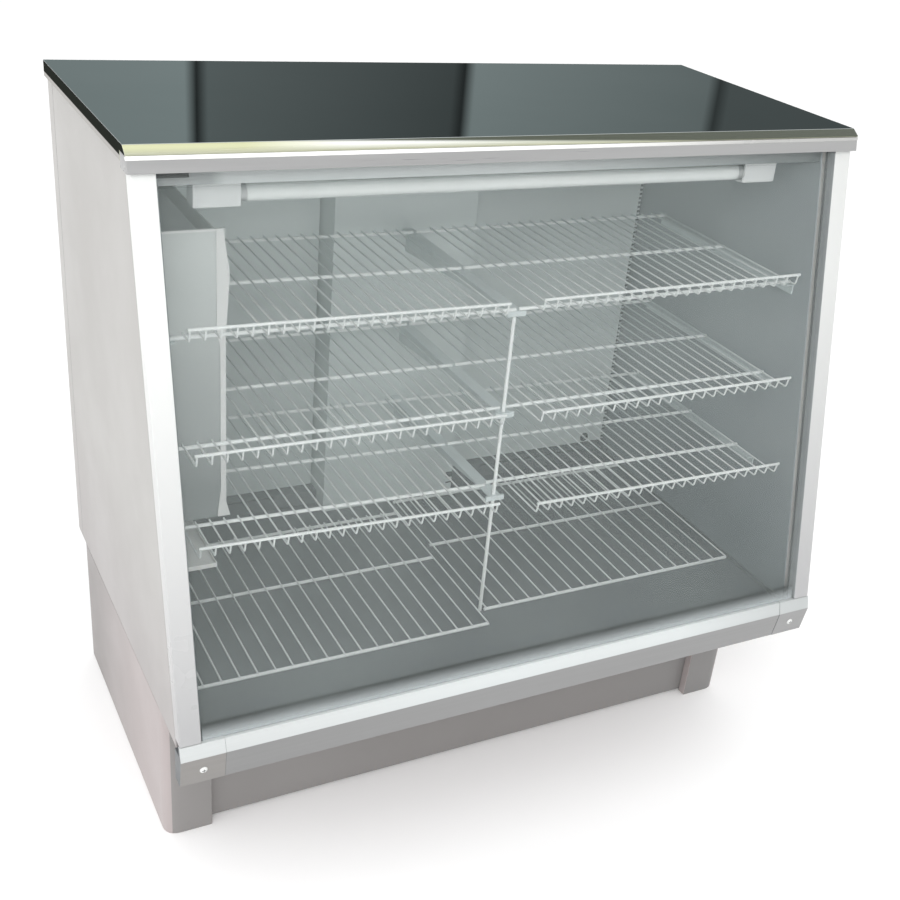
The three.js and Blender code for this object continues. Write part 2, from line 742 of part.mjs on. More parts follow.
// Shelf supports. At the middle three tapering arms reach from the pillar to a slim rod,
// which the lower two slide over and the upper one caps, each with a short cross tab in
// front of the rod. At the ends every tier has an angle ledge on each side wall.
const rodRadius = 3.2;
const rodY = 27;
const armPlate = 3;
const armFlange = 11;
const armFlangeThickness = 2.5;
const armRootDepth = 42;
const armTipDepth = 9;
const teeReach = 17;
const teeDepth = 4;
const teeHeight = 9;
const ledgeFront = 13;
const ledgeReach = 16;
const ledgeSheet = 2.5;
const ledgeDrop = 18;
const ledgeBackGap = 18;
const coverPlane = 109;
const supportDrop = shelfBarThickness + restGap;

const rodTop = levelOf(upperTier) - supportDrop - armFlangeThickness - restGap;
addPiece('front_rod', whiteWire, roundBar('z', rodRadius, [floorTop + restGap, rodTop], 12), [0, rodY, 0]);

function shelfArm() {
  const tip = rodY - rodRadius;
  const front = rodY + rodRadius + restGap;
  const back = pillarFront - restGap;
  const plate = alongX([
    [front, -armTipDepth], [back, -armRootDepth], [back, 0], [front, 0],
  ], [-armPlate / 2, armPlate / 2]);
  const flange = block([-armFlange, armFlange], [front, back], [-armFlangeThickness, 0]);
  const cap = block([-armFlange, armFlange], [tip - teeDepth, front + overrun], [-armFlangeThickness, 0]);
  const tee = block([-teeReach, teeReach], [tip - teeDepth, tip - restGap], [-teeHeight, 0]);
  return join([plate, flange, cap, tee]);
}
for (const tier of tiers) {
  const arm = shelfArm();
  const rodHole = roundBar('z', rodRadius + restGap, [-armRootDepth, overrun], 12).translate(0, rodY, 0);
  addPiece(`shelf_arm_${tier.name}`, bracketGrey, tier === upperTier ? arm : cut(arm, [rodHole]),
    [0, 0, levelOf(tier) - supportDrop]);
}

function ledge(side, back) {
  const outer = innerHalf - restGap;
  const ends = [ledgeFront, back];
  const shelf = block([side * (outer - ledgeReach), side * outer], ends, [-ledgeSheet, 0]);
  const flange = block([side * (outer - ledgeSheet), side * outer], ends, [-ledgeDrop, 0]);
  return join([shelf, flange]);
}
const ledgeBacks = { left: coverPlane - restGap, right: pillarFront - ledgeBackGap };
const shelfMeeting = 3;
const shelfOuter = innerHalf - shelfSideGap;
const shelfLength = shelfOuter - shelfMeeting;
const ledgeInner = innerHalf - restGap - ledgeReach;
for (const tier of tiers) {
  for (const { side, word } of sides) {
    const lowPoint = tier[word].rise < 0 ? shelfOuter : ledgeInner;
    const lift = tier[word].rise * (lowPoint - shelfMeeting) / shelfLength;
    addPiece(`shelf_ledge_${word}_${tier.name}`, bracketGrey, ledge(side, ledgeBacks[word]),
      [0, 0, levelOf(tier) - supportDrop + lift]);
  }
}

// Evaporator at the left end: a cover that hides the coil, and a drip tray under it.
const coverDrop = 13;
const coverFoot = levelOf(lowerTier) - coverDrop;
const coverHeadroom = 89.7;
const coverTop = roofUnder - coverHeadroom;
const evaporatorWidth = 102;
const coverSide = innerHalf - evaporatorWidth;
const coverSheet = 3;
const coverFlange = 15;
const coverBackGap = 38;
const coverBack = pillarFront - coverBackGap;
const coilClear = 12;
const trayGap = 88;
const trayTop = coverFoot - trayGap;
const trayDepth = 8;
const traySheet = 2;

function evaporatorCover() {
  const wall = innerHalf - restGap;
  const points = [
    [-wall, coverPlane], [-coverSide + coverFlange, coverPlane],
    [-coverSide + coverFlange, coverPlane + coverSheet], [-coverSide, coverPlane + coverSheet],
    [-coverSide, coverBack], [-wall, coverBack], [-wall, coverBack - coverSheet],
    [-coverSide - coverSheet, coverBack - coverSheet], [-coverSide - coverSheet, coverPlane + coverSheet],
    [-wall, coverPlane + coverSheet],
  ];
  return alongZ(points, [coverFoot, coverTop]);
}
addPiece('evaporator_cover', doorLiner, evaporatorCover());

function evaporatorCoil() {
  const outer = innerHalf - restGap;
  const inner = coverSide + coverSheet + coilClear;
  const front = coverPlane + coverSheet + coilClear;
  const back = coverBack - coverSheet - coilClear;
  const core = block([-outer, -inner], [front, back], [coverFoot + coilClear, coverTop - coilClear]);
  const grooves = [];
  const coilFins = 8;
  const pitch = (coverTop - coverFoot - 2 * coilClear) / (coilFins + 1);
  for (let i = 1; i <= coilFins; i += 1) {
    const z = coverFoot + coilClear + i * pitch;
    grooves.push(block([-outer + coilClear, -inner + overrun], [front - overrun, back + overrun],
      [z - coilClear / 2, z + coilClear / 2]));
  }
  return cut(core, grooves);
}
addPiece('evaporator_coil', coilAluminium, evaporatorCoil());

function dripTray() {
  const outer = innerHalf - restGap;
  const tray = block([-outer, -coverSide], [coverPlane, coverBack], [trayTop - trayDepth, trayTop]);
  const pocket = block([-outer + traySheet, -coverSide - traySheet],
    [coverPlane + traySheet, coverBack - traySheet], [trayTop - trayDepth + traySheet, trayTop + overrun]);
  return cut(tray, [pocket]);
}
addPiece('drip_tray', zincSteel, dripTray());

// Wire shelves: wires run from front to back over three cross bars, and turn up at the
// front into a raised lip bar. On the left shelves only the front bar runs on in front of
// the evaporator cover, and the wires there end behind it.
const notchSide = coverSide - coverFlange - shelfSideGap;
const shortWireEnd = 6;
const shelfBackGap = 25;
const shelfBack = pillarFront - shelfBackGap;
const shelfMiddle = shelfMiddleShare * shelfBack;
const innerMargin = 31;
const outerMargins = { left: 25, right: 9 };

function evenPlaces(low, high, pitch) {
  const count = Math.round((high - low) / pitch);
  return Array.from({ length: count + 1 }, (_, i) => low + (high - low) * i / count);
}

// The wires lie flat on the bars, with their shared faces at the height of zero.
function crossBar(ends, centre) {
  const front = centre - shelfBarThickness / 2;
  const back = centre + shelfBarThickness / 2;
  return alongX([[front, -shelfBarThickness], [back, -shelfBarThickness], [back, 0], [front, 0]], ends);
}

function shelfWire(x, back, lip) {
  const bend = lip + lipRun;
  return alongX([
    [back, 0], [bend, 0], [lip, lipRise], [lip + wireThickness, lipRise],
    [bend + wireThickness / 2, wireThickness], [back, wireThickness],
  ], [x - wireThickness / 2, x + wireThickness / 2]);
}

function wireShelf(side, word, bar, lip) {
  const notched = side < 0;
  const ends = [side * shelfMeeting, side * shelfOuter].sort((a, b) => a - b);
  const rearEnds = notched ? [-notchSide, -shelfMeeting] : ends;
  const firstWire = shelfMeeting + innerMargin;
  const lastWire = shelfOuter - outerMargins[word];
  const wires = evenPlaces(firstWire, lastWire, shelfWirePitch).map((place) => {
    const short = notched && place > notchSide - wireThickness;
    return shelfWire(side * place, short ? bar + shortWireEnd : shelfBack, lip);
  });
  const bars = [crossBar(ends, bar), crossBar(rearEnds, shelfMiddle),
    crossBar(rearEnds, shelfBack - shelfBarThickness)];
  const lipBar = block([side * (firstWire - wireThickness), side * (lastWire + wireThickness)],
    [lip - lipBarThickness / 2, lip + lipBarThickness / 2],
    [lipRise - lipBarThickness / 2, lipRise + lipBarThickness / 2]);
  return join([...bars, ...wires, lipBar]);
}
// Each shelf tips about the lower corner of its inner end, which lies on the arm.
for (const tier of tiers) {
  for (const { side, word } of sides) {
    const seat = new THREE.Group();
    seat.position.set(side * shelfMeeting, 0, levelOf(tier) - shelfBarThickness);
    seat.rotation.y = -side * Math.atan2(tier[word].rise, shelfLength);
    body.add(seat);
    const { bar, lipGap } = tier[word];
    const lip = behindSlope(levelOf(tier) + lipRise, glassSetback + glassStack) + lipGap;
    addPiece(`wire_shelf_${word}_${tier.name}`, whiteWire, wireShelf(side, word, bar, lip),
      [-side * shelfMeeting, 0, shelfBarThickness], seat);
  }
}

// Floor grids, laid loose on the floor, so they don't quite line up.
const gridFronts = { left: -22, right: 20 };
const gridBackGap = 28;
const gridDepth = pillarFront - gridBackGap;
const gridMiddleShare = 0.568;
function floorGrid(side, front) {
  const ends = [side * (shelfMeeting + rodRadius), side * shelfOuter].sort((a, b) => a - b);
  const back = front + gridDepth;
  const bars = [front + shelfBarThickness / 2, front + gridMiddleShare * gridDepth, back - shelfBarThickness / 2].map(
    (centre) => crossBar(ends, centre));
  const wires = evenPlaces(ends[0] + wireThickness, ends[1] - wireThickness, floorWirePitch).map(
    (x) => alongX([[front, 0], [back, 0], [back, wireThickness], [front, wireThickness]],
      [x - wireThickness / 2, x + wireThickness / 2]));
  return join([...bars, ...wires]);
}
for (const { side, word } of sides) {
  addPiece(`floor_grid_${word}`, whiteWire, floorGrid(side, gridFronts[word]),
    [0, 0, floorTop + shelfBarThickness + restGap]);
}

// Centre the footprint between the rail's edge and the back of the plinth.
body.position.y = -(railEdgeFront - restGap + plinthDepth) / 2;

export default displayCase;
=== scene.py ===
# A refrigerated counter display case, dressed in its finishes around the fixed frame.
import json
import math

import bmesh
import bpy
from mathutils import Matrix, Vector

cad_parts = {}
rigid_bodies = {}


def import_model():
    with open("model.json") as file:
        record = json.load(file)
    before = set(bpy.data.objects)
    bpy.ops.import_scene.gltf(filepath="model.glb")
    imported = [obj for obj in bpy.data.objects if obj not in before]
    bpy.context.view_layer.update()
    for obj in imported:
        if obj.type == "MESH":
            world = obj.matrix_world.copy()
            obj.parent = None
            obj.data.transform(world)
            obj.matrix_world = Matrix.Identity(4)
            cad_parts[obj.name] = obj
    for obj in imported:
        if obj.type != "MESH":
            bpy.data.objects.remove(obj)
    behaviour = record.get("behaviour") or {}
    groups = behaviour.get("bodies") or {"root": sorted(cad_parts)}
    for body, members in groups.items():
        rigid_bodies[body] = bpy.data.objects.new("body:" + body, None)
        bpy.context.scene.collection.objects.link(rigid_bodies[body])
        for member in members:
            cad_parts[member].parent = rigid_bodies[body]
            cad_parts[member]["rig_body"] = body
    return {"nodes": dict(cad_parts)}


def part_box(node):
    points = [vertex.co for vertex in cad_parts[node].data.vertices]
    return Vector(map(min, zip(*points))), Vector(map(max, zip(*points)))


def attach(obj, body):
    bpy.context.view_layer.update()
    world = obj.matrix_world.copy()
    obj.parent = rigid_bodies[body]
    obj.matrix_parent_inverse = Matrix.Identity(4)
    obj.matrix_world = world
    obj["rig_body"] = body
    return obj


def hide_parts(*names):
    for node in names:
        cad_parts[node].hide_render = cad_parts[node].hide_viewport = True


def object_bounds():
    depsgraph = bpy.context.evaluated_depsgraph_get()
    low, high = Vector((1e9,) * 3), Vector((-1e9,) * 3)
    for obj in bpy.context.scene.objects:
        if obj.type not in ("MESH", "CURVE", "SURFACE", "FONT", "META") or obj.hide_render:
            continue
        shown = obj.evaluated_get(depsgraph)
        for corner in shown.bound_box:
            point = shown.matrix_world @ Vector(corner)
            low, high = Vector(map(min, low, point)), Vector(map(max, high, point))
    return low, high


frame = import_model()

cad_low, cad_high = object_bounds()
mm = 0.001

# Camera, as the photograph was taken
camera_place = Vector((-0.962, -1.7486, 1.585))
camera_angles = (60.639, -5.808, -27.822)
camera_lens = 49.62
camera_sensor = 36
camera_shift = (-0.0452, 0.054)

camera_data = bpy.data.cameras.new("camera")
camera_data.lens = camera_lens
camera_data.sensor_width = camera_sensor
camera_data.shift_x, camera_data.shift_y = camera_shift
camera = bpy.data.objects.new("camera", camera_data)
camera.location = camera_place
camera.rotation_euler = [math.radians(angle) for angle in camera_angles]
bpy.context.scene.collection.objects.link(camera)
bpy.context.scene.camera = camera
bpy.context.scene.view_settings.view_transform = "Standard"


# Materials. Every finish starts from one principled shader and the object's own
# coordinates, and each part of its look is a short function that adds to it.
class Finish:
    """A material with its shader, and the small additions that give it its look."""

    def __init__(self, name, colour, roughness, metallic=0.0):
        self.material = bpy.data.materials.new(name)
        self.material.use_nodes = True
        self.tree = self.material.node_tree
        self.shader = self.tree.nodes["Principled BSDF"]
        self.colour = colour
        self.roughness = roughness
        self.shader.inputs["Base Color"].default_value = (*colour, 1)
        self.shader.inputs["Roughness"].default_value = roughness
        self.shader.inputs["Metallic"].default_value = metallic
        self.bump_end = None

    def node(self, kind, **values):
        made = self.tree.nodes.new(kind)
        for key, value in values.items():
            if key in made.inputs:
                made.inputs[key].default_value = value
            else:
                setattr(made, key, value)
        return made

    def link(self, source, target):
        self.tree.links.new(source, target)

    def place(self, stretch=(1, 1, 1)):
        """Object coordinates, drawn out along an axis by a small share there."""
        where = self.node("ShaderNodeTexCoord").outputs["Object"]
        mapping = self.node("ShaderNodeMapping")
        mapping.inputs["Scale"].default_value = stretch
        self.link(where, mapping.inputs["Vector"])
        return mapping.outputs["Vector"]

    def noise(self, scale, detail=3.0, stretch=(1, 1, 1), roughness=0.55):
        cloud = self.node("ShaderNodeTexNoise", Scale=scale, Detail=detail, Roughness=roughness)
        self.link(self.place(stretch), cloud.inputs["Vector"])
        return cloud.outputs["Fac"]

    def spread(self, source, low, high, start=0.3, end=0.7, curve="LINEAR"):
        """The source's middle range, spread between two values."""
        mapped = self.node("ShaderNodeMapRange", interpolation_type=curve)
        mapped.inputs["From Min"].default_value = start
        mapped.inputs["From Max"].default_value = end
        mapped.inputs["To Min"].default_value = low
        mapped.inputs["To Max"].default_value = high
        self.link(source, mapped.inputs["Value"])
        return mapped.outputs["Result"]

    def blend_colour(self, amount, tone):
        """Mixes another colour over what the surface has so far."""
        mix = self.node("ShaderNodeMix", data_type="RGBA")
        target = self.shader.inputs["Base Color"]
        if target.is_linked:
            self.link(target.links[0].from_socket, mix.inputs["A"])
        else:
            mix.inputs["A"].default_value = target.default_value
        mix.inputs["B"].default_value = (*tone, 1)
        self.link(amount, mix.inputs["Factor"])
        self.link(mix.outputs["Result"], target)
        return self

    def fade(self, tone, axis, start, end):
        """Another tone that grows along one axis, from one place to the next."""
        parts = self.node("ShaderNodeSeparateXYZ")
        self.link(self.place(), parts.inputs["Vector"])
        return self.blend_colour(self.spread(parts.outputs[axis], 0, 1, start, end), tone)

    def mottle(self, tone, scale, strength=0.5, detail=4.0, stretch=(1, 1, 1)):
        """Soft patches of a second tone."""
        cloud = self.noise(scale, detail, stretch)
        return self.blend_colour(self.spread(cloud, 0, strength, curve="SMOOTHSTEP"), tone)

    def smudge(self, amount, scale, stretch=(1, 1, 1)):
        """Patches that are a little shinier or duller."""
        cloud = self.noise(scale, 4.0, stretch)
        low, high = max(self.roughness - amount, 0), self.roughness + amount
        rough = self.spread(cloud, low, high, curve="SMOOTHSTEP")
        self.link(rough, self.shader.inputs["Roughness"])
        return self

    def bump(self, source, height, strength=1.0):
        """Adds a relief, over any that is there already."""
        relief = self.node("ShaderNodeBump", Strength=strength, Distance=height)
        self.link(source, relief.inputs["Height"])
        if self.bump_end:
            self.link(self.bump_end, relief.inputs["Normal"])
        self.bump_end = relief.outputs["Normal"]
        self.link(self.bump_end, self.shader.inputs["Normal"])
        return self

    def grain(self, scale, height, stretch=(1, 1, 1), detail=2.0):
        return self.bump(self.noise(scale, detail, stretch), height)

    def set(self, **values):
        for key, value in values.items():
            self.shader.inputs[key.replace("_", " ")].default_value = value
        return self


# Heights of the fine relief in the finishes
peel_height = 0.02 * mm
brush_height = 0.01 * mm
top_wave_height = 0.1 * mm
scratch_height = 0.001 * mm
sheet_wave_height = 0.6 * mm
glass_wave_height = 0.2 * mm
wire_coat_height = 0.12 * mm
bracket_grain_height = 0.03 * mm
fine_grain_height = 0.02 * mm
cast_grain_height = 0.04 * mm
fin_height = 0.4 * mm
powder_depth = 12 * mm


def enamel(name, colour, tone, roughness=0.38):
    """Sprayed enamel: faint orange peel, and patches where hands have wiped it."""
    finish = Finish(name, colour, roughness)
    finish.mottle(tone, 2.2, 0.6).mottle(tone, 9.0, 0.25)
    return finish.smudge(0.05, 5.0).grain(420.0, peel_height)


def brushed(name, colour, tone, roughness, stretch, metallic=1.0):
    """Metal with a fine grain that runs along one axis."""
    finish = Finish(name, colour, roughness, metallic)
    finish.mottle(tone, 160.0, 0.5, 2.0, stretch)
    finish.smudge(0.08, 120.0, stretch)
    return finish.grain(700.0, brush_height, stretch)


along_x = (0.02, 1, 1)

# Stretches of the case over which a finish changes its tone, in metres
right_half = (0, 0.5)
left_half = (-0.5, 0)
wall_foot = (0.62, 0.34)
apron_right = (0.3, 0.55)
side_rear = (-0.05, 0.3)
across_case = (-0.5, 0.5)
post_length = (0.95, 0.36)
rail_left = (-0.5, -0.1)
rail_right = (0.3, 0.58)
middle_right = (0, 0.4)
nosing_left = (-0.45, -0.3)
nosing_middle = (-0.2, 0)
nosing_right = (0.3, 0.6)
nosing_foot = (1.166, 1.161)
nosing_slope = (-0.4, 0.3)
nosing_shade = (1.169, 1.1715)
nosing_shade_drop = 10.5 * mm
fold_foot = (1.1535, 1.1525)
liner_foot = (0.6, 0.4)
door_head = (0.8, 1.0)
cover_length = (0.98, 0.6)
roof_left_end = (-0.49, -0.47)
shelf_front = (-0.12, 0.04)

white_enamel = enamel("white_enamel", (0.40, 0.39, 0.375), (0.365, 0.355, 0.34))
# The side walls' enamel darkens towards their foot: painted shade.
white_enamel.fade((0.335, 0.315, 0.31), "Z", *wall_foot)
grey_enamel = enamel("grey_enamel", (0.245, 0.235, 0.23), (0.225, 0.215, 0.21), 0.42)
# Darker towards the right: painted shade.
grey_enamel.fade((0.205, 0.20, 0.197), "X", *apron_right)
side_enamel = enamel("side_enamel", (0.41, 0.362, 0.358), (0.37, 0.33, 0.325), 0.42)
# Darker towards the back of the sides: painted shade.
side_enamel.fade((0.26, 0.24, 0.235), "Y", *side_rear)
post_white = enamel("post_white", (0.71, 0.72, 0.71), (0.68, 0.69, 0.68), 0.32)
# The posts darken over the right half and towards their foot: painted shade.
post_white.fade((0.61, 0.62, 0.61), "X", *right_half).fade((0.385, 0.385, 0.39), "Z", *post_length)
header_white = enamel("header_white", (0.70, 0.71, 0.70), (0.66, 0.67, 0.66), 0.35)
# Lit and shaded copies of the rail's brushed aluminium. The upper slope is a painted highlight, darker
# towards the right end; the faces below are painted shade, lighter and darker along the case; the caps'
# faces are painted shade, lighter at the right cap.
rail_bevel_highlight = brushed("rail_bevel_highlight", (0.56, 0.58, 0.58), (0.52, 0.54, 0.54), 0.36, along_x, 0.2)
rail_bevel_highlight.fade((0.60, 0.63, 0.63), "X", *rail_left).fade((0.46, 0.48, 0.48), "X", *rail_right)
rail_face_shaded = brushed("rail_face_shaded", (0.235, 0.235, 0.235), (0.22, 0.22, 0.22), 0.4, along_x, 0.2)
rail_face_shaded.fade((0.265, 0.265, 0.265), "X", *left_half)
cap_face_shaded = brushed("cap_face_shaded", (0.25, 0.24, 0.23), (0.235, 0.225, 0.22), 0.4, along_x, 0.2)
cap_face_shaded.fade((0.29, 0.29, 0.29), "X", *across_case)
fascia_grey = brushed("fascia_grey", (0.345, 0.345, 0.345), (0.335, 0.335, 0.335), 0.34, along_x, 0.2)
# A near-white finish that darkens towards the right: a painted highlight, used for the strip along the
# fascia's top and for the drip tray's bright rim.
painted_highlight_white = enamel("painted_highlight_white", (0.90, 0.90, 0.88), (0.86, 0.86, 0.84), 0.3)
painted_highlight_white.fade((0.42, 0.42, 0.41), "X", *middle_right)


def rolled_nosing():
    """Painted reflection on the worktop's rolled front edge: a bright strip, golden at the left end, paler
    and then greyer towards the right, darker at its foot, with painted shade over its upper part towards
    the right.
    """
    finish = brushed("nosing_reflection", (0.56, 0.575, 0.36), (0.50, 0.515, 0.31), 0.25, along_x, 0.3)
    finish.fade((0.80, 0.81, 0.78), "X", *nosing_left).fade((0.66, 0.69, 0.60), "X", *nosing_middle)
    finish.fade((0.50, 0.50, 0.46), "X", *nosing_right).fade((0.42, 0.43, 0.32), "Z", *nosing_foot)
    parts = finish.node("ShaderNodeSeparateXYZ")
    finish.link(finish.place(), parts.inputs["Vector"])
    height = finish.node("ShaderNodeMath", operation="ADD")
    finish.link(parts.outputs["Z"], height.inputs[0])
    finish.link(finish.spread(parts.outputs["X"], 0, nosing_shade_drop, *nosing_slope), height.inputs[1])
    shade = finish.spread(height.outputs["Value"], 0, 1, *nosing_shade)
    return finish.blend_colour(shade, (0.055, 0.065, 0.045))


nosing_reflection = rolled_nosing()
# The worktop's sides, front folds and underside are near black: a painted dark reflection on the folds and
# painted shade underneath, with the finish's own reflection turned off; lighter at the foot of the folds.
fold_reflection_shade = enamel("fold_reflection_shade", (0.018, 0.02, 0.017), (0.022, 0.024, 0.021), 0.6)
fold_reflection_shade.set(Specular_IOR_Level=0)
fold_reflection_shade.fade((0.40, 0.39, 0.375), "Z", *fold_foot)


def polished_top():
    """Polished dark steel, nearly a mirror, with wiped streaks and small scratches."""
    finish = Finish("polished_steel", (0.58, 0.61, 0.61), 0.025, 1.0)
    finish.mottle((0.50, 0.54, 0.54), 1.6, 0.7)
    finish.smudge(0.012, 3.0, (0.4, 1, 1))
    return finish.grain(2.4, top_wave_height).grain(900.0, scratch_height, (0.05, 1, 1))


polished_steel = polished_top()


def liner_sheet(name, colour, tone):
    """Thin satin lining sheet, slightly wavy."""
    finish = Finish(name, colour, 0.45)
    finish.mottle(tone, 3.0, 0.7).mottle(tone, 30.0, 0.2)
    finish.smudge(0.08, 8.0)
    return finish.grain(3.5, sheet_wave_height)


liner = liner_sheet("liner", (0.29, 0.32, 0.335), (0.265, 0.29, 0.30))
# The liner darkens towards the floor: painted shade.
liner.fade((0.185, 0.21, 0.225), "Z", *liner_foot)
door_panel = liner_sheet("door_panel", (0.55, 0.60, 0.595), (0.48, 0.53, 0.53))
# Lighter towards the top, and a little towards the right: painted light.
door_panel.fade((0.72, 0.78, 0.775), "Z", *door_head).fade((0.57, 0.62, 0.615), "X", *middle_right)
cover_panel = liner_sheet("cover_panel", (0.57, 0.60, 0.59), (0.52, 0.55, 0.54))
# Darker towards its foot: painted shade.
cover_panel.fade((0.21, 0.23, 0.23), "Z", *cover_length)
# A dark copy of the liner that stands for the shade low in the case: painted shade on the floor, the rear
# sill and the rail's back faces, darker towards the right.
painted_low_shade = liner_sheet("painted_low_shade", (0.115, 0.125, 0.132), (0.105, 0.115, 0.12))
painted_low_shade.fade((0.085, 0.093, 0.10), "X", *right_half)
roof_lining = liner_sheet("roof_lining", (0.33, 0.355, 0.355), (0.30, 0.32, 0.32))
# Lighter just inside its left end and darker over the right half: painted light and shade.
roof_lining.fade((0.50, 0.53, 0.53), "X", *roof_left_end)
roof_lining.fade((0.17, 0.19, 0.19), "X", *right_half)


def pane(name):
    """Clear glass with a thin film of dust and a green cast, and a pale veil that thickens where it is seen
    at a slant, standing in for its reflection: painted reflection.
    """
    finish = Finish(name, (0.62, 0.70, 0.68), 0.03)
    facing = finish.node("ShaderNodeLayerWeight", Blend=0.25).outputs["Facing"]
    film = finish.spread(finish.noise(2.5, 5.0), 0.0, 0.025)
    # Where the glass is seen at a slant its pale colour stands in for its reflection: painted reflection.
    edge = finish.spread(facing, 0.03, 0.5, 0.25, 1.0)
    total = finish.node("ShaderNodeMath", operation="ADD")
    finish.link(film, total.inputs[0])
    finish.link(edge, total.inputs[1])
    finish.link(total.outputs["Value"], finish.shader.inputs["Alpha"])
    finish.material.surface_render_method = "BLENDED"
    return finish.grain(1.2, glass_wave_height)


clear_glass = pane("clear_glass")


def misted_foot(low, high, cover):
    """Mist and dust that have settled at the foot of the pane and thin out upwards."""
    finish = Finish("misted_foot", (0.60, 0.65, 0.66), 0.6)
    parts = finish.node("ShaderNodeSeparateXYZ")
    finish.link(finish.place(), parts.inputs["Vector"])
    thinning = finish.node("ShaderNodeMath", operation="POWER")
    finish.link(finish.spread(parts.outputs["Z"], 0, cover, high, low), thinning.inputs[0])
    thinning.inputs[1].default_value = 1.6
    finish.link(thinning.outputs["Value"], finish.shader.inputs["Alpha"])
    finish.material.surface_render_method = "BLENDED"
    return finish.mottle((0.57, 0.62, 0.63), 20.0, 0.4, 3.0, along_x)


def dipped_wire(name):
    """Wire dipped in white plastic, a little uneven."""
    finish = Finish(name, (0.80, 0.83, 0.82), 0.3)
    finish.mottle((0.71, 0.74, 0.74), 40.0, 0.6)
    return finish.grain(180.0, wire_coat_height)


white_wire = dipped_wire("white_wire")
# The shelf wires darken towards the back: painted shade.
thin_wire = dipped_wire("thin_wire").fade((0.50, 0.545, 0.55), "Y", *shelf_front)


def dull_bracket():
    finish = Finish("bracket_grey", (0.58, 0.635, 0.64), 0.5, 0.1)
    finish.mottle((0.52, 0.575, 0.58), 14.0, 0.7)
    return finish.smudge(0.1, 20.0).grain(350.0, bracket_grain_height)


bracket_grey = dull_bracket()


def moulded_plastic(name, colour, tone, roughness):
    finish = Finish(name, colour, roughness)
    finish.mottle(tone, 12.0, 0.5).smudge(0.06, 25.0)
    return finish.grain(600.0, fine_grain_height)


white_plastic = moulded_plastic("white_plastic", (0.82, 0.83, 0.82), (0.76, 0.77, 0.76), 0.35)
black_plastic = moulded_plastic("black_plastic", (0.03, 0.03, 0.032), (0.045, 0.045, 0.045), 0.42)
black_rubber = moulded_plastic("black_rubber", (0.025, 0.026, 0.027), (0.045, 0.045, 0.045), 0.7)
dark_seal = moulded_plastic("dark_seal", (0.10, 0.105, 0.105), (0.07, 0.075, 0.075), 0.6)
# Grey for the white posts' inner sides: painted shade.
post_side_shade = moulded_plastic("post_side_shade", (0.28, 0.295, 0.30), (0.25, 0.265, 0.27), 0.55)
holder_white = moulded_plastic("holder_white", (0.65, 0.67, 0.67), (0.61, 0.63, 0.63), 0.35)


def dashed_gap_shade():
    """A dark strip with light dashes up its length; the dark is painted shade in a gap."""
    finish = Finish("dashed_gap_shade", (0.09, 0.10, 0.10), 0.6)
    dashes = finish.node("ShaderNodeTexWave", Scale=35.0, Distortion=0.6, bands_direction="Z")
    finish.link(finish.place(), dashes.inputs["Vector"])
    finish.blend_colour(finish.spread(dashes.outputs["Fac"], 0, 0.9, 0.4, 0.6), (0.45, 0.49, 0.49))
    return finish.smudge(0.1, 30.0)


gap_shade_finish = dashed_gap_shade()


def opal_tube():
    """An unlit lamp tube: white powder seen through glass, with soft grey patches along it."""
    finish = Finish("opal_glass", (0.76, 0.79, 0.78), 0.12)
    finish.mottle((0.70, 0.73, 0.72), 8.0, 0.4, 2.0, (0.2, 1, 1))
    finish.set(Coat_Weight=0.6, Coat_Roughness=0.05)
    finish.set(Subsurface_Weight=1, Subsurface_Radius=(1, 1, 1), Subsurface_Scale=powder_depth)
    return finish.grain(60.0, fine_grain_height)


opal_glass = opal_tube()


def fin_stack():
    """Thin bare fins, seen as fine upright lines."""
    finish = Finish("fin_aluminium", (0.60, 0.61, 0.62), 0.4, 1.0)
    fins = finish.node("ShaderNodeTexWave", Scale=120.0, Distortion=0.4, bands_direction="Y")
    finish.link(finish.place(), fins.inputs["Vector"])
    finish.blend_colour(finish.spread(fins.outputs["Fac"], 0, 0.6, 0, 1), (0.25, 0.26, 0.27))
    return finish.bump(fins.outputs["Fac"], fin_height).smudge(0.1, 30.0)


fin_aluminium = fin_stack()


def painted_black():
    finish = Finish("black_steel", (0.03, 0.03, 0.033), 0.35, 0.2)
    finish.mottle((0.06, 0.06, 0.06), 10.0, 0.6)
    return finish.smudge(0.12, 18.0).grain(260.0, cast_grain_height)


black_steel = painted_black()


def zinc_plate():
    """Zinc-plated sheet with the faint grains of the plating."""
    finish = Finish("zinc_steel", (0.50, 0.51, 0.51), 0.38, 0.85)
    cells = finish.node("ShaderNodeTexVoronoi", Scale=90.0)
    finish.link(finish.place(), cells.inputs["Vector"])
    finish.blend_colour(finish.spread(cells.outputs["Color"], 0, 0.5, 0.2, 0.8), (0.40, 0.41, 0.42))
    return finish.smudge(0.1, 25.0).grain(300.0, fine_grain_height)


zinc_steel = zinc_plate()


# Making pieces
merge_gap = 0.01 * mm
flat_angle = math.radians(1)
edge_angle = math.radians(28)
shade_angle = math.radians(35)


def add_piece(name, mesh_work, finish, body="case", stands_for=()):
    """Turns finished mesh work into a piece that rides on a body."""
    bmesh.ops.recalc_face_normals(mesh_work, faces=mesh_work.faces)
    mesh = bpy.data.meshes.new(name)
    mesh_work.to_mesh(mesh)
    mesh_work.free()
    mesh.materials.append(finish.material)
    mesh.shade_smooth()
    mesh.set_sharp_from_angle(angle=shade_angle)
    piece = bpy.data.objects.new(name, mesh)
    bpy.context.scene.collection.objects.link(piece)
    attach(piece, body)
    if stands_for:
        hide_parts(*stands_for)
    return piece


def body_of(node):
    return frame["nodes"][node]["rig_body"]


def dress(node, finish):
    """Gives a node of the frame its finish."""
    shape = frame["nodes"][node]
    for place in shape.material_slots:
        place.material = finish.material


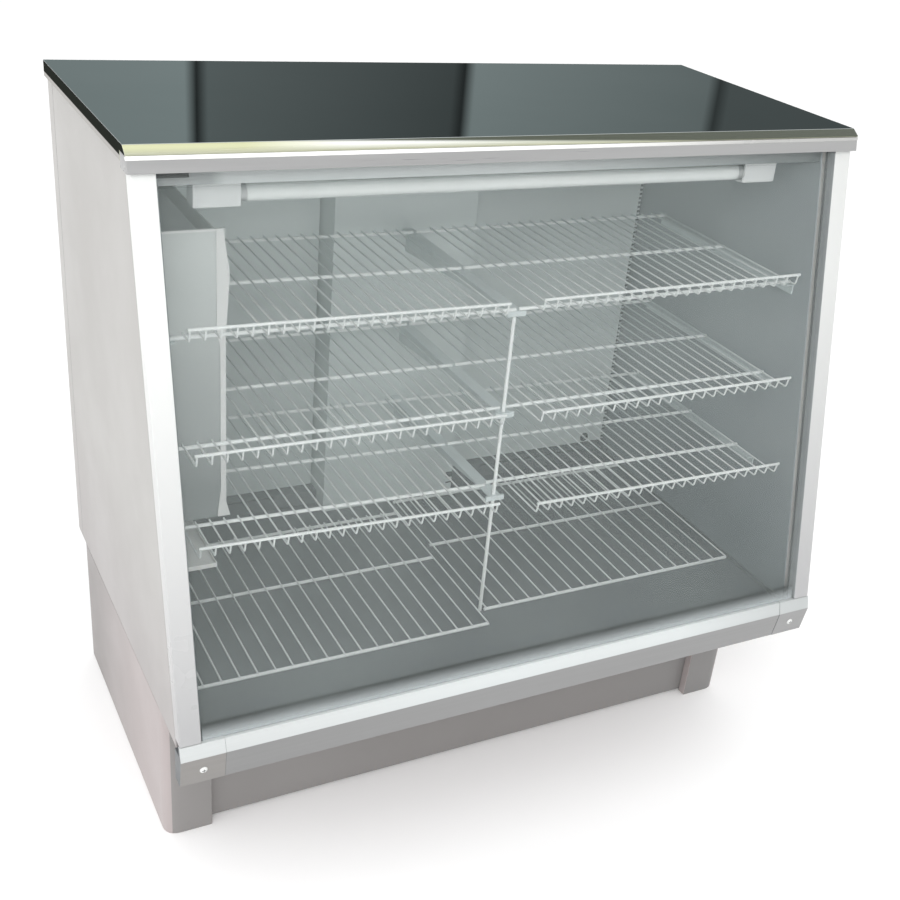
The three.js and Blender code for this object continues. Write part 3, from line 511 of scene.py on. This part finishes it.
def paint_faces(piece, finish, chosen):
    """Gives some faces of a piece a second finish."""
    piece.data.materials.append(finish.material)
    last = len(piece.data.materials) - 1
    for face in piece.data.polygons:
        if chosen(face):
            face.material_index = last


def soften(node, finish, width, segments=2, angle=edge_angle):
    """A copy of a node with its hard edges rounded, which then stands for it."""
    work = bmesh.new()
    work.from_mesh(frame["nodes"][node].data)
    bmesh.ops.remove_doubles(work, verts=work.verts, dist=merge_gap)
    bmesh.ops.dissolve_limit(work, angle_limit=flat_angle, verts=work.verts, edges=work.edges)
    hard = [edge for edge in work.edges if edge.is_manifold and edge.calc_face_angle() > angle]
    bmesh.ops.bevel(work, geom=hard, offset=width, offset_type="OFFSET", segments=segments,
                    profile=0.5, material=-1, affect="EDGES", clamp_overlap=True)
    piece = add_piece(f"{node}_dressed", work, finish, body_of(node), (node,))
    weights = piece.modifiers.new("even_shading", "WEIGHTED_NORMAL")
    weights.keep_sharp = True
    return piece


def rounded_box(work, low, high, width, segments=2):
    """A box between two corners with its edges rounded."""
    low, high = Vector(low), Vector(high)
    size = high - low
    where = Matrix.Translation((low + high) / 2) @ Matrix.Diagonal((*size, 1))
    made = bmesh.ops.create_cube(work, size=1, matrix=where)
    edges = {edge for vert in made["verts"] for edge in vert.link_edges}
    bmesh.ops.bevel(work, geom=list(edges), offset=width, offset_type="OFFSET", segments=segments,
                    profile=0.5, material=-1, affect="EDGES", clamp_overlap=True)


# Round rods, drawn out step by step from a closed ring
def start_ring(work, centre, direction, radius, sides):
    turn = Vector((0, 0, 1)).rotation_difference(Vector(direction)).to_matrix().to_4x4()
    made = bmesh.ops.create_circle(work, cap_ends=True, segments=sides, radius=radius,
                                   matrix=Matrix.Translation(centre) @ turn)
    ring = set(made["verts"])
    return [edge for edge in work.edges if set(edge.verts) <= ring]


def draw_straight(work, ring, move):
    grown = bmesh.ops.extrude_edge_only(work, edges=ring)["geom"]
    verts = [item for item in grown if isinstance(item, bmesh.types.BMVert)]
    bmesh.ops.translate(work, verts=verts, vec=move)
    fresh = set(verts)
    return [item for item in grown if isinstance(item, bmesh.types.BMEdge) and set(item.verts) <= fresh]


def draw_bend(work, ring, centre, axis, angle, steps):
    turned = bmesh.ops.spin(work, geom=ring, cent=centre, axis=axis, angle=angle, steps=steps,
                            dvec=(0, 0, 0), use_duplicate=False)
    return [item for item in turned["geom_last"] if isinstance(item, bmesh.types.BMEdge)]


def close_ring(work, ring):
    bmesh.ops.edgeloop_fill(work, edges=ring)


def straight_rod(work, start, end, radius, sides=8):
    move = Vector(end) - Vector(start)
    close_ring(work, draw_straight(work, start_ring(work, start, move, radius, sides), move))


# The plainer solids, rounded along their edges
sheet_edge = 0.6 * mm
panel_edge = 1.6 * mm
holder_edge = 5 * mm
softened = [
    ("plinth_side_left", side_enamel, "grey_enamel", panel_edge),
    ("plinth_side_right", side_enamel, "grey_enamel", panel_edge),
    ("plinth_apron", grey_enamel, "grey_enamel", panel_edge),
    ("machine_pan", zinc_steel, "zinc_steel", sheet_edge),
    ("machine_cover", grey_enamel, "grey_enamel", sheet_edge),
    ("power_inlet", black_plastic, "black_plastic", sheet_edge),
    ("insulated_floor", side_enamel, "liner", panel_edge),
    ("side_wall_left", white_enamel, "white_enamel", panel_edge),
    ("side_wall_right", white_enamel, "white_enamel", panel_edge),
    ("worktop", polished_steel, "polished_steel", sheet_edge),
    ("fascia", fascia_grey, "fascia_aluminium", panel_edge),
    ("front_post_left", post_white, "post_white", panel_edge),
    ("front_post_right", post_white, "post_white", panel_edge),
    ("front_rail", rail_face_shaded, "rail_aluminium", sheet_edge),
    ("rail_cap_left", cap_face_shaded, "rail_aluminium", panel_edge),
    ("rail_cap_right", cap_face_shaded, "rail_aluminium", panel_edge),
    # The rear sill takes the dark finish that stands for shade low in the case: painted shade.
    ("rear_sill", painted_low_shade, "zinc_steel", sheet_edge),
    ("rear_header", header_white, "white_enamel", panel_edge),
    ("centre_pillar", door_panel, "liner", panel_edge),
    ("rear_door_left", door_panel, "door_panel", panel_edge),
    ("rear_door_right", door_panel, "door_panel", panel_edge),
    ("door_pull_left", zinc_steel, "zinc_steel", sheet_edge),
    ("door_pull_right", zinc_steel, "zinc_steel", sheet_edge),
    ("lamp_holder_left", holder_white, "white_plastic", holder_edge),
    ("lamp_holder_right", holder_white, "white_plastic", holder_edge),
    # The drip tray is painted with the highlight white for its bright rim.
    ("drip_tray", painted_highlight_white, "zinc_steel", sheet_edge),
    ("compressor", black_steel, "black_steel", panel_edge),
    ("fan_motor", black_steel, "black_steel", sheet_edge),
    ("condenser", fin_aluminium, "fin_aluminium", sheet_edge),
    ("thermostat_knob", black_plastic, "black_plastic", sheet_edge),
    ("light_switch", black_plastic, "black_plastic", sheet_edge),
]
rounded = {node: soften(node, finish, width) for node, finish, slot, width in softened}

# Faces that differ from the rest of their piece
plain_facing = 0.9
edge_facing = 0.3
bevel_facing_share = 0.125
rail_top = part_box("front_rail")[1].z
wall_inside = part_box("side_wall_right")[0].x


def on_floor(face):
    """The floor's top, and the low steps between its side walls."""
    within = abs(face.center.x) < wall_inside + panel_edge
    return face.normal.z > edge_facing or (within and abs(face.normal.x) > edge_facing)


def on_bevel(face):
    """The rail's upper slope, and the narrow ledge along its top edge."""
    if face.normal.y < -edge_facing:
        return face.normal.z > -face.normal.y * bevel_facing_share
    return face.normal.z > edge_facing and face.center.z > rail_top - sheet_edge


tiers = ("lower", "middle", "upper")
sides = {"left": -1, "right": 1}
for word, side in sides.items():
    paint_faces(rounded[f"side_wall_{word}"], liner, lambda face: face.normal.x * side < -edge_facing)
    # The posts' inner sides take painted shade.
    paint_faces(rounded[f"front_post_{word}"], post_side_shade, lambda face: face.normal.x * side < -plain_facing)
    # The plinth sides' front faces take the darker grey enamel: painted shade beside their lighter outer
    # faces.
    paint_faces(rounded[f"plinth_side_{word}"], grey_enamel, lambda face: face.normal.y < -plain_facing)
# On the rail and its caps, the back and top faces take the dark finish that stands for shade low in the
# case, and the upper slope takes the painted highlight.
for node in ("rail_cap_left", "rail_cap_right", "front_rail"):
    paint_faces(rounded[node], painted_low_shade, lambda face: min(face.normal.y, face.normal.z) > -edge_facing)
    paint_faces(rounded[node], rail_bevel_highlight, on_bevel)
# The floor's top and low steps take the dark finish: painted shade.
paint_faces(rounded["insulated_floor"], painted_low_shade, on_floor)
# Painted dark reflection and shade on the worktop's sideways and downward faces.
paint_faces(rounded["worktop"], fold_reflection_shade, lambda face: face.normal.z < edge_facing)
# The worktop's front faces take the painted reflection of its rolled nosing.
paint_faces(rounded["worktop"], nosing_reflection,
            lambda face: face.normal.z < plain_facing and face.normal.y < -edge_facing)

kept = {
    "condenser_fan": black_plastic, "roof_panel": roof_lining,
    "front_glass": clear_glass, "inner_glass": clear_glass,
    "door_gasket_left": black_rubber, "door_gasket_right": black_rubber,
    "lamp_tube": opal_glass, "front_rod": white_wire, "evaporator_cover": cover_panel,
    "evaporator_coil": fin_aluminium,
}
for node, finish in kept.items():
    dress(node, finish)
for tier in tiers:
    dress(f"shelf_arm_{tier}", bracket_grey)
    for word in sides:
        dress(f"shelf_ledge_{word}_{tier}", bracket_grey)

# Wire shelves. Each wire runs from the back over three bars and turns up into the lip.
wire_radius = 1.5 * mm
bar_radius = 3 * mm
lip_radius = 2.5 * mm
weld_sink = 0.4 * mm
shelf_gap = 5 * mm
shelf_meeting = 3 * mm
inner_margin = 31 * mm
outer_margins = {"left": 25 * mm, "right": 9 * mm}
short_wire_end = 6 * mm
wire_pitch = 23 * mm
support_gap = 6.3 * mm
lip_rise = 20 * mm
bend_radius = 4 * mm
rise_lean = math.radians(12)
wire_sides = 6
bend_steps = 3
plinth_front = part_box("plinth_side_left")[0].y
pillar_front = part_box("centre_pillar")[0].y
cover_low, cover_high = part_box("evaporator_cover")
shelf_back_room = 25 * mm
shelf_back = pillar_front - shelf_back_room
shelf_middle_share = 0.518
shelf_outer = wall_inside - shelf_gap
notch_side = -cover_high.x - shelf_gap
bar_places = {
    ("lower", "left"): 55 * mm, ("lower", "right"): 63 * mm, ("middle", "left"): 35 * mm,
    ("middle", "right"): 36 * mm, ("upper", "left"): 20 * mm, ("upper", "right"): 21 * mm,
}
shelf_rises = {
    ("lower", "left"): 13 * mm, ("lower", "right"): -6 * mm, ("middle", "left"): 3 * mm,
    ("middle", "right"): 1 * mm, ("upper", "left"): 5 * mm, ("upper", "right"): 4 * mm,
}


def even_places(low, high, pitch):
    count = round((high - low) / pitch)
    return [low + (high - low) * step / count for step in range(count + 1)]


def shelf_wire(work, x, back, lip):
    """One wire, from its back end to where it is welded under the lip bar."""
    height = wire_radius - weld_sink
    turn = math.pi / 2 - rise_lean
    front = lip + bend_radius + (lip_rise - bend_radius) * math.tan(rise_lean)
    ring = start_ring(work, (x, back, height), (0, -1, 0), wire_radius, wire_sides)
    ring = draw_straight(work, ring, (0, front - back, 0))
    centre = (x, front, height + bend_radius)
    ring = draw_bend(work, ring, centre, (-1, 0, 0), turn, bend_steps)
    length = (lip_rise - height - bend_radius * (1 - math.cos(turn))) / math.sin(turn)
    rise = Vector((0, -math.cos(turn), math.sin(turn))) * length
    close_ring(work, draw_straight(work, ring, rise))


def wire_shelf(word, tier):
    side = sides[word]
    node = f"wire_shelf_{word}_{tier}"
    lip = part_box(node)[0].y + lip_radius
    bar = plinth_front + bar_places[tier, word]
    work = bmesh.new()
    notched = word == "left"
    first, last = shelf_meeting + inner_margin, shelf_outer - outer_margins[word]
    for place in even_places(first, last, wire_pitch):
        short = notched and place > notch_side - 2 * wire_radius
        shelf_wire(work, side * place, bar + short_wire_end if short else shelf_back, lip)
    wire_faces = len(work.faces)
    bar_height = -bar_radius
    rear_end = notch_side if notched else shelf_outer
    middle = plinth_front + shelf_middle_share * (shelf_back - plinth_front)
    for y, end in ((bar, shelf_outer), (middle, rear_end), (shelf_back - 2 * bar_radius, rear_end)):
        straight_rod(work, (side * shelf_meeting, y, bar_height), (side * end, y, bar_height), bar_radius)
    straight_rod(work, (side * (first - 2 * wire_radius), lip, lip_rise),
                 (side * (last + 2 * wire_radius), lip, lip_rise), lip_radius)
    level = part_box(f"shelf_arm_{tier}")[1].z + support_gap
    tilt = -side * math.atan2(shelf_rises[tier, word], shelf_outer - shelf_meeting)
    hinge = Vector((side * shelf_meeting, 0, level - 2 * bar_radius))
    bmesh.ops.translate(work, verts=work.verts, vec=(0, 0, level))
    bmesh.ops.rotate(work, verts=work.verts, cent=hinge, matrix=Matrix.Rotation(tilt, 3, "Y"))
    piece = add_piece(f"{node}_dressed", work, thin_wire, "case", (node,))
    paint_faces(piece, white_wire, lambda face: face.index >= wire_faces)


for tier in tiers:
    for word in sides:
        wire_shelf(word, tier)

# Floor grids, of the same wire over three bars
grid_pitch = 30 * mm
grid_middle_share = 0.568


def floor_grid(word):
    node = f"floor_grid_{word}"
    low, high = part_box(node)
    bar_height = low.z + bar_radius
    wire_height = high.z - wire_radius - weld_sink
    work = bmesh.new()
    middle = low.y + grid_middle_share * (high.y - low.y)
    for y in (low.y + bar_radius, middle, high.y - bar_radius):
        straight_rod(work, (low.x, y, bar_height), (high.x, y, bar_height), bar_radius)
    for x in even_places(low.x + 2 * wire_radius, high.x - 2 * wire_radius, grid_pitch):
        straight_rod(work, (x, low.y, wire_height), (x, high.y, wire_height), wire_radius, wire_sides)
    add_piece(f"{node}_dressed", work, white_wire, "case", (node,))


for word in sides:
    floor_grid(word)

# Strips that follow the sloping front. Their places are given across the case, back from
# the outer pane's face, and upwards, as if the front stood upright.
front_lean = math.radians(11.658)
glass_low, glass_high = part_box("front_glass")
inner_pane_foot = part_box("inner_glass")[0]
rail_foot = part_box("front_rail")[0].z


def leaning_strips(name, finish, boxes, width):
    work = bmesh.new()
    for (left, right), (front, back), (low, high) in boxes:
        rounded_box(work, (left, glass_low.y + front, low), (right, glass_low.y + back, high), width, 1)
    slope = Matrix.Identity(4)
    slope[1][2] = math.tan(front_lean)
    slope[1][3] = -glass_low.z * math.tan(front_lean)
    bmesh.ops.transform(work, verts=work.verts, matrix=slope)
    return add_piece(name, work, finish)


def both_ends(inner, outer):
    """The same range across the case at its left and right ends."""
    return ((-outer, -inner), (inner, outer))


fine_edge = 0.3 * mm
film_edge = 0.1 * mm
fitting_gap = 0.3 * mm
pane_back = 4.4 * mm
pane_room = (pane_back, inner_pane_foot.y - glass_low.y - fitting_gap)
pane_height = (glass_low.z, glass_high.z)
seal_width = 2 * mm
seal_inner = glass_high.x - seal_width
seal_room = (pane_room[1] - seal_width, pane_room[1])
leaning_strips("pane_seals", dark_seal,
               [(ends, seal_room, pane_height) for ends in both_ends(seal_inner, glass_high.x)], fine_edge)
head_seal = 2.5 * mm
head_height = (glass_high.z - head_seal, glass_high.z)
leaning_strips("head_seal", dark_seal,
               [((glass_low.x, glass_high.x), (pane_room[0], seal_room[0] - fitting_gap), head_height)],
               fine_edge)
# A black strip at the left end under the head seal, standing for the shade under the fascia at that corner:
# painted shade.
corner_shade_length = 44 * mm
corner_shade_drop = 10 * mm
corner_shade_height = (glass_high.z - corner_shade_drop, head_height[0] - fitting_gap)
leaning_strips("corner_shade_patch", black_rubber,
               [((glass_low.x, glass_low.x + corner_shade_length), (pane_room[0], seal_room[0] - fitting_gap),
                 corner_shade_height)], fine_edge)

mist_height = 27 * mm
mist_cover = 0.64
mist_room = (-0.8 * mm, -0.2 * mm)
mist_finish = misted_foot(rail_top, rail_top + mist_height, mist_cover)
leaning_strips("pane_mist", mist_finish,
               [((fitting_gap - seal_inner, seal_inner - fitting_gap), mist_room,
                 (rail_top + fitting_gap, rail_top + mist_height))], film_edge)

# Painted highlight along the top of the fascia: a bright strip where its top edge catches the light
fascia_low, fascia_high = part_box("fascia")
highlight_strip_height = 5.5 * mm
highlight_strip_front = 3.2 * mm
highlight_strip_depth = 4 * mm
highlight_strip_edge = 1.2 * mm
highlight_strip_work = bmesh.new()
rounded_box(highlight_strip_work, (fascia_low.x, fascia_low.y + highlight_strip_front, fascia_high.z - highlight_strip_height),
            (fascia_high.x, fascia_low.y + highlight_strip_front + highlight_strip_depth, fascia_high.z), highlight_strip_edge, 3)
add_piece("fascia_highlight_strip", highlight_strip_work, painted_highlight_white)


# Evaporator cover: its bright top edge, and the bent strip up its right edge
def flat_plate(work, outline, front, back):
    """A plate with an outline of (x, z) places."""
    face = work.faces.new([work.verts.new((x, front, z)) for x, z in outline])
    grown = bmesh.ops.extrude_face_region(work, geom=[face])["geom"]
    verts = [item for item in grown if isinstance(item, bmesh.types.BMVert)]
    bmesh.ops.translate(work, verts=verts, vec=(0, back - front, 0))


# Each point of the strip has its place across from the cover's right edge, and its height
# as a share of the cover's.
cover_height = cover_high.z - cover_low.z
strip_inner = -13.6 * mm
strip_neck = -8.6 * mm
strip_corner = -3.6 * mm
strip_shoulder = 5.6 * mm
strip_bulge = 6.4 * mm
strip_shares = (
    (strip_inner, 0), (strip_bulge, 0), (0, 0.053), (0, 0.657), (strip_bulge, 0.847),
    (strip_shoulder, 0.87), (strip_corner, 1), (strip_inner, 1), (strip_inner, 0.678),
    (strip_neck, 0.614), (strip_neck, 0.106), (strip_inner, 0.02),
)
strip_outline = [(cover_high.x + across, cover_low.z + share * cover_height)
                 for across, share in strip_shares]
skin_gap = 0.2 * mm
plate_thickness = 1.2 * mm
strip_plate = (cover_low.y - skin_gap - plate_thickness, cover_low.y - skin_gap)
cover_edge_gap = 14 * mm
cover_edge_end = cover_high.x - cover_edge_gap
cover_edge_height = 3.5 * mm
cover_work = bmesh.new()
flat_plate(cover_work, strip_outline, *strip_plate)
rounded_box(cover_work, (cover_low.x, strip_plate[0], cover_high.z - cover_edge_height),
            (cover_edge_end, strip_plate[1], cover_high.z), fine_edge)
add_piece("cover_edges", cover_work, header_white)

# Rear wall: dark slots at the pillar's foot and under the doors, a hole low in the right
# door, and a dark dashed strip up the corner beside it, painted shade in the gap there
pillar_slots = (
    ((128 * mm, 142 * mm), (352 * mm, 364 * mm)),
    ((129 * mm, 141 * mm), (338 * mm, 341 * mm)),
)
slot_thickness = 0.6 * mm
slot_work = bmesh.new()
for (left, right), (low, high) in pillar_slots:
    rounded_box(slot_work, (left, pillar_front - skin_gap - slot_thickness, low),
                (right, pillar_front - skin_gap, high), fine_edge)
threshold_front, threshold_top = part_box("rear_sill")[0].y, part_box("rear_sill")[1].z
door_slot = (230 * mm, 476 * mm)
door_slot_parts = 9
door_slot_share = 0.92
door_slot_height = 3.2 * mm
slot_step = (door_slot[1] - door_slot[0]) / door_slot_parts
for side in sides.values():
    for index in range(door_slot_parts):
        start = door_slot[0] + index * slot_step
        left, right = sorted((side * start, side * (start + door_slot_share * slot_step)))
        foot = (left, threshold_front - skin_gap - slot_thickness, threshold_top - door_slot_height)
        rounded_box(slot_work, foot, (right, threshold_front - skin_gap, threshold_top), fine_edge)
add_piece("rear_slots", slot_work, black_rubber)

door_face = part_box("rear_door_right")[0].y
hole_across = 505 * mm
hole_height = 362 * mm
hole_radius = 10.5 * mm
hole_thickness = 0.5 * mm
door_hole = Vector((hole_across, door_face - skin_gap, hole_height))
hole_work = bmesh.new()
straight_rod(hole_work, door_hole, door_hole - Vector((0, hole_thickness, 0)), hole_radius, 24)
add_piece("door_hole", hole_work, black_rubber, body_of("rear_door_right"))

door_gap = 4 * mm
gap_shade_width = 6 * mm
corner_work = bmesh.new()
rounded_box(corner_work,
            (wall_inside - door_gap - gap_shade_width, door_face - skin_gap - plate_thickness,
             threshold_top + door_gap + fine_edge),
            (wall_inside - door_gap, door_face - skin_gap,
             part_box("rear_header")[0].z - door_gap - fine_edge), fine_edge)
add_piece("gap_shade_strip", corner_work, gap_shade_finish, body_of("rear_door_right"))

# Metal collars at the ends of the lamp tube
tube_low, tube_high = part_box("lamp_tube")
tube_centre = (tube_low + tube_high) / 2
collar_wall = 0.4 * mm
collar_radius = (tube_high.z - tube_low.z) / 2 + collar_wall
collar_length = 9 * mm
collar_work = bmesh.new()
for word, side in sides.items():
    holder_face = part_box(f"lamp_holder_{word}")[1 if side < 0 else 0].x - side * fine_edge
    start = Vector((holder_face, tube_centre.y, tube_centre.z))
    straight_rod(collar_work, start, start - Vector((side * collar_length, 0, 0)), collar_radius, 32)
add_piece("lamp_collars", collar_work, zinc_steel)

# Dome-headed screws with a cross recess, in the tilted front faces of the rail's caps
screw_radius = 6 * mm
screw_dome = 2.8 * mm
screw_rings = 5
cross_length = 6 * mm
cross_width = 1.1 * mm
cross_room = (-0.1 * mm, 0.9 * mm)
rail_tuck = 8 * mm
rail_edge_height = 52 * mm
rail_face_tilt = math.atan2(rail_tuck, rail_edge_height)


def dome_screw(word):
    work = bmesh.new()
    steps = [index * math.pi / 2 / screw_rings for index in range(screw_rings + 1)]
    rim = [work.verts.new((screw_radius * math.cos(angle), -screw_dome * math.sin(angle), 0))
           for angle in steps]
    foot = work.verts.new((0, 0, 0))
    chain = [foot, *rim]
    lines = [work.edges.new(pair) for pair in zip(chain, chain[1:])]
    bmesh.ops.spin(work, geom=lines + chain, cent=(0, 0, 0), axis=(0, 1, 0), angle=2 * math.pi,
                   steps=32, use_merge=True, use_duplicate=False)
    bmesh.ops.remove_doubles(work, verts=work.verts, dist=merge_gap)
    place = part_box(f"cap_screw_{word}")
    centre = Vector(((place[0].x + place[1].x) / 2, cad_low.y + rail_tuck / 2,
                     rail_foot + rail_edge_height / 2))
    turn = Matrix.Translation(centre) @ Matrix.Rotation(rail_face_tilt, 4, "X")
    bmesh.ops.transform(work, verts=work.verts, matrix=turn)
    add_piece(f"cap_screw_{word}_dressed", work, header_white, "case",
              (f"cap_screw_{word}",))
    cross = bmesh.new()
    for reach, height in ((cross_length, cross_width), (cross_width, cross_length)):
        rounded_box(cross, (-reach / 2, cross_room[0] - screw_dome, -height / 2),
                    (reach / 2, cross_room[1] - screw_dome, height / 2), film_edge, 1)
    bmesh.ops.transform(cross, verts=cross.verts, matrix=turn)
    add_piece(f"screw_cross_{word}", cross, dark_seal)


for word in sides:
    dome_screw(word)

# Marks round the thermostat, and a pointer on its knob
knob_low, knob_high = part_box("thermostat_knob")
knob_centre = (knob_low + knob_high) / 2
tick_ring = (24 * mm, 29 * mm)
tick_width = 1 * mm
tick_count = 10
tick_sweep = math.radians(270)
mark_height = 0.3 * mm
tick_face = knob_low.y - mark_height
tick_work = bmesh.new()
for index in range(tick_count + 1):
    before = len(tick_work.verts)
    rounded_box(tick_work, (-tick_width / 2, tick_face, tick_ring[0]),
                (tick_width / 2, tick_face + mark_height, tick_ring[1]), film_edge, 1)
    tick_work.verts.ensure_lookup_table()
    turn = Matrix.Rotation(tick_sweep * (index / tick_count - 0.5), 3, "Y")
    bmesh.ops.rotate(tick_work, verts=tick_work.verts[before:], cent=(0, 0, 0), matrix=turn)
bmesh.ops.translate(tick_work, verts=tick_work.verts, vec=(knob_centre.x, 0, knob_centre.z))
add_piece("dial_marks", tick_work, white_plastic)
pointer_start = 6 * mm
pointer_margin = 3 * mm
pointer_sink = 0.2 * mm
pointer_work = bmesh.new()
rounded_box(pointer_work,
            (knob_centre.x - tick_width, knob_high.y - pointer_sink, knob_centre.z + pointer_start),
            (knob_centre.x + tick_width, knob_high.y + mark_height, knob_high.z - pointer_margin),
            film_edge, 1)
add_piece("dial_pointer", pointer_work, white_plastic, body_of("thermostat_knob"))

# Seam up each side, where the rear frame meets the wall
seam_back = 36 * mm
seam_width = 1.2 * mm
seam_margin = 3 * mm
seam_sink = 0.5 * mm
seam_proud = 0.15 * mm
seam_edge = 0.05 * mm
seam_work = bmesh.new()
for word, side in sides.items():
    wall_low, wall_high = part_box(f"side_wall_{word}")
    face = (wall_high if side > 0 else wall_low).x
    left, right = sorted((face - side * seam_sink, face + side * seam_proud))
    rounded_box(seam_work, (left, wall_high.y - seam_back, wall_low.z + seam_margin),
                (right, wall_high.y - seam_back + seam_width, wall_high.z - seam_margin), seam_edge, 1)
add_piece("side_seams", seam_work, grey_enamel)

# Stage: a pale floor, soft studio light and a white surround
floor_size = 60
floor_work = bmesh.new()
bmesh.ops.create_grid(floor_work, x_segments=2, y_segments=2, size=floor_size / 2)
floor_mesh = bpy.data.meshes.new("studio_floor")
floor_work.to_mesh(floor_mesh)
floor_work.free()
studio_floor = bpy.data.objects.new("studio_floor", floor_mesh)
bpy.context.scene.collection.objects.link(studio_floor)
floor_finish = Finish("studio_floor", (0.93, 0.93, 0.93), 0.8)
floor_mesh.materials.append(floor_finish.material)


def soft_light(name, place, aim, size, power):
    data = bpy.data.lights.new(name, "AREA")
    data.shape = "DISK"
    data.size = size
    data.energy = power
    lamp = bpy.data.objects.new(name, data)
    lamp.location = place
    lamp.rotation_euler = (Vector(aim) - Vector(place)).to_track_quat("-Z", "Y").to_euler()
    bpy.context.scene.collection.objects.link(lamp)


# Each light's place, what it is aimed at, its size across and its power in watts
studio_lights = {
    "key_light": ((-1.6, -3.4, 3.2), (0, 0, 0.7), 2.6, 80),
    "side_light": ((-3.6, 0.2, 2.4), (0, 0, 0.6), 2.2, 10),
    "fill_light": ((2.8, -2.6, 2.2), (0, 0, 0.6), 2.4, 10),
}
for name, values in studio_lights.items():
    soft_light(name, *values)

# The surround is white, but for a dim stretch low behind the case, which the polished top
# reflects. Thin dark uprights part it into even panels, each with a tone at its left and
# right side, and the last tone goes on round the right side to the front. Seen straight
# on, it is white all round. Angles are in degrees from the back towards the right.
surround_strength = 1.2
dim_tint = (0.84, 1.0, 1.0)
dim_height = (0.26, 0.42)
dim_reach = (-45, 80)
first_panel = 4.5
panel_width = 11.5
panel_tones = ((0.2, 0.24), (0.12, 0.06), (0.22, 0.14), (0.08, 0.05))
upright_tone = 0.02
upright_width = 0.35
upright_edge = 0.1


def dim_stops():
    """Each change of the surround's tone, as its angle and the tone there."""
    stops = [(dim_reach[0], 1), (first_panel, panel_tones[0][0])]
    for index, (before, after) in enumerate(zip(panel_tones, panel_tones[1:])):
        left = first_panel + (index + 1) * panel_width
        right = left + upright_width
        stops += [(left - upright_edge, before[1]), (left, upright_tone)]
        stops += [(right, upright_tone), (right + upright_edge, after[0])]
    return stops + [(dim_reach[1], panel_tones[-1][1])]


world = bpy.data.worlds.new("studio")
bpy.context.scene.world = world
world.use_nodes = True
world_tree = world.node_tree
backdrop = world_tree.nodes["Background"]
backdrop.inputs["Strength"].default_value = surround_strength


def world_range(source, ends):
    """The source's place between two ends, from 0 to 1."""
    mapped = world_tree.nodes.new("ShaderNodeMapRange")
    mapped.inputs["From Min"].default_value, mapped.inputs["From Max"].default_value = ends
    world_tree.links.new(source, mapped.inputs["Value"])
    return mapped.outputs["Result"]


direction = world_tree.nodes.new("ShaderNodeTexCoord").outputs["Generated"]
parts = world_tree.nodes.new("ShaderNodeSeparateXYZ")
world_tree.links.new(direction, parts.inputs["Vector"])
turned = world_tree.nodes.new("ShaderNodeMath")
turned.operation = "ARCTAN2"
world_tree.links.new(parts.outputs["X"], turned.inputs[0])
world_tree.links.new(parts.outputs["Y"], turned.inputs[1])
dim_surround = world_tree.nodes.new("ShaderNodeValToRGB")
tones = dim_stops()
while len(dim_surround.color_ramp.elements) < len(tones):
    dim_surround.color_ramp.elements.new(1)
for stop, (angle, tone) in zip(dim_surround.color_ramp.elements, tones):
    stop.position = (angle - dim_reach[0]) / (dim_reach[1] - dim_reach[0])
    stop.color = (*(tone * part for part in dim_tint), 1) if tone < 1 else (1, 1, 1, 1)
ends = [math.radians(angle) for angle in dim_reach]
world_tree.links.new(world_range(turned.outputs["Value"], ends), dim_surround.inputs["Fac"])
open_sky = world_tree.nodes.new("ShaderNodeMix")
open_sky.data_type = "RGBA"
world_tree.links.new(world_range(parts.outputs["Z"], dim_height), open_sky.inputs["Factor"])
world_tree.links.new(dim_surround.outputs["Color"], open_sky.inputs["A"])
open_sky.inputs["B"].default_value = (1, 1, 1, 1)
seen_plain = world_tree.nodes.new("ShaderNodeMix")
seen_plain.data_type = "RGBA"
straight_view = world_tree.nodes.new("ShaderNodeLightPath").outputs["Is Camera Ray"]
world_tree.links.new(straight_view, seen_plain.inputs["Factor"])
world_tree.links.new(open_sky.outputs["Result"], seen_plain.inputs["A"])
seen_plain.inputs["B"].default_value = (1, 1, 1, 1)
world_tree.links.new(seen_plain.outputs["Result"], backdrop.inputs["Color"])
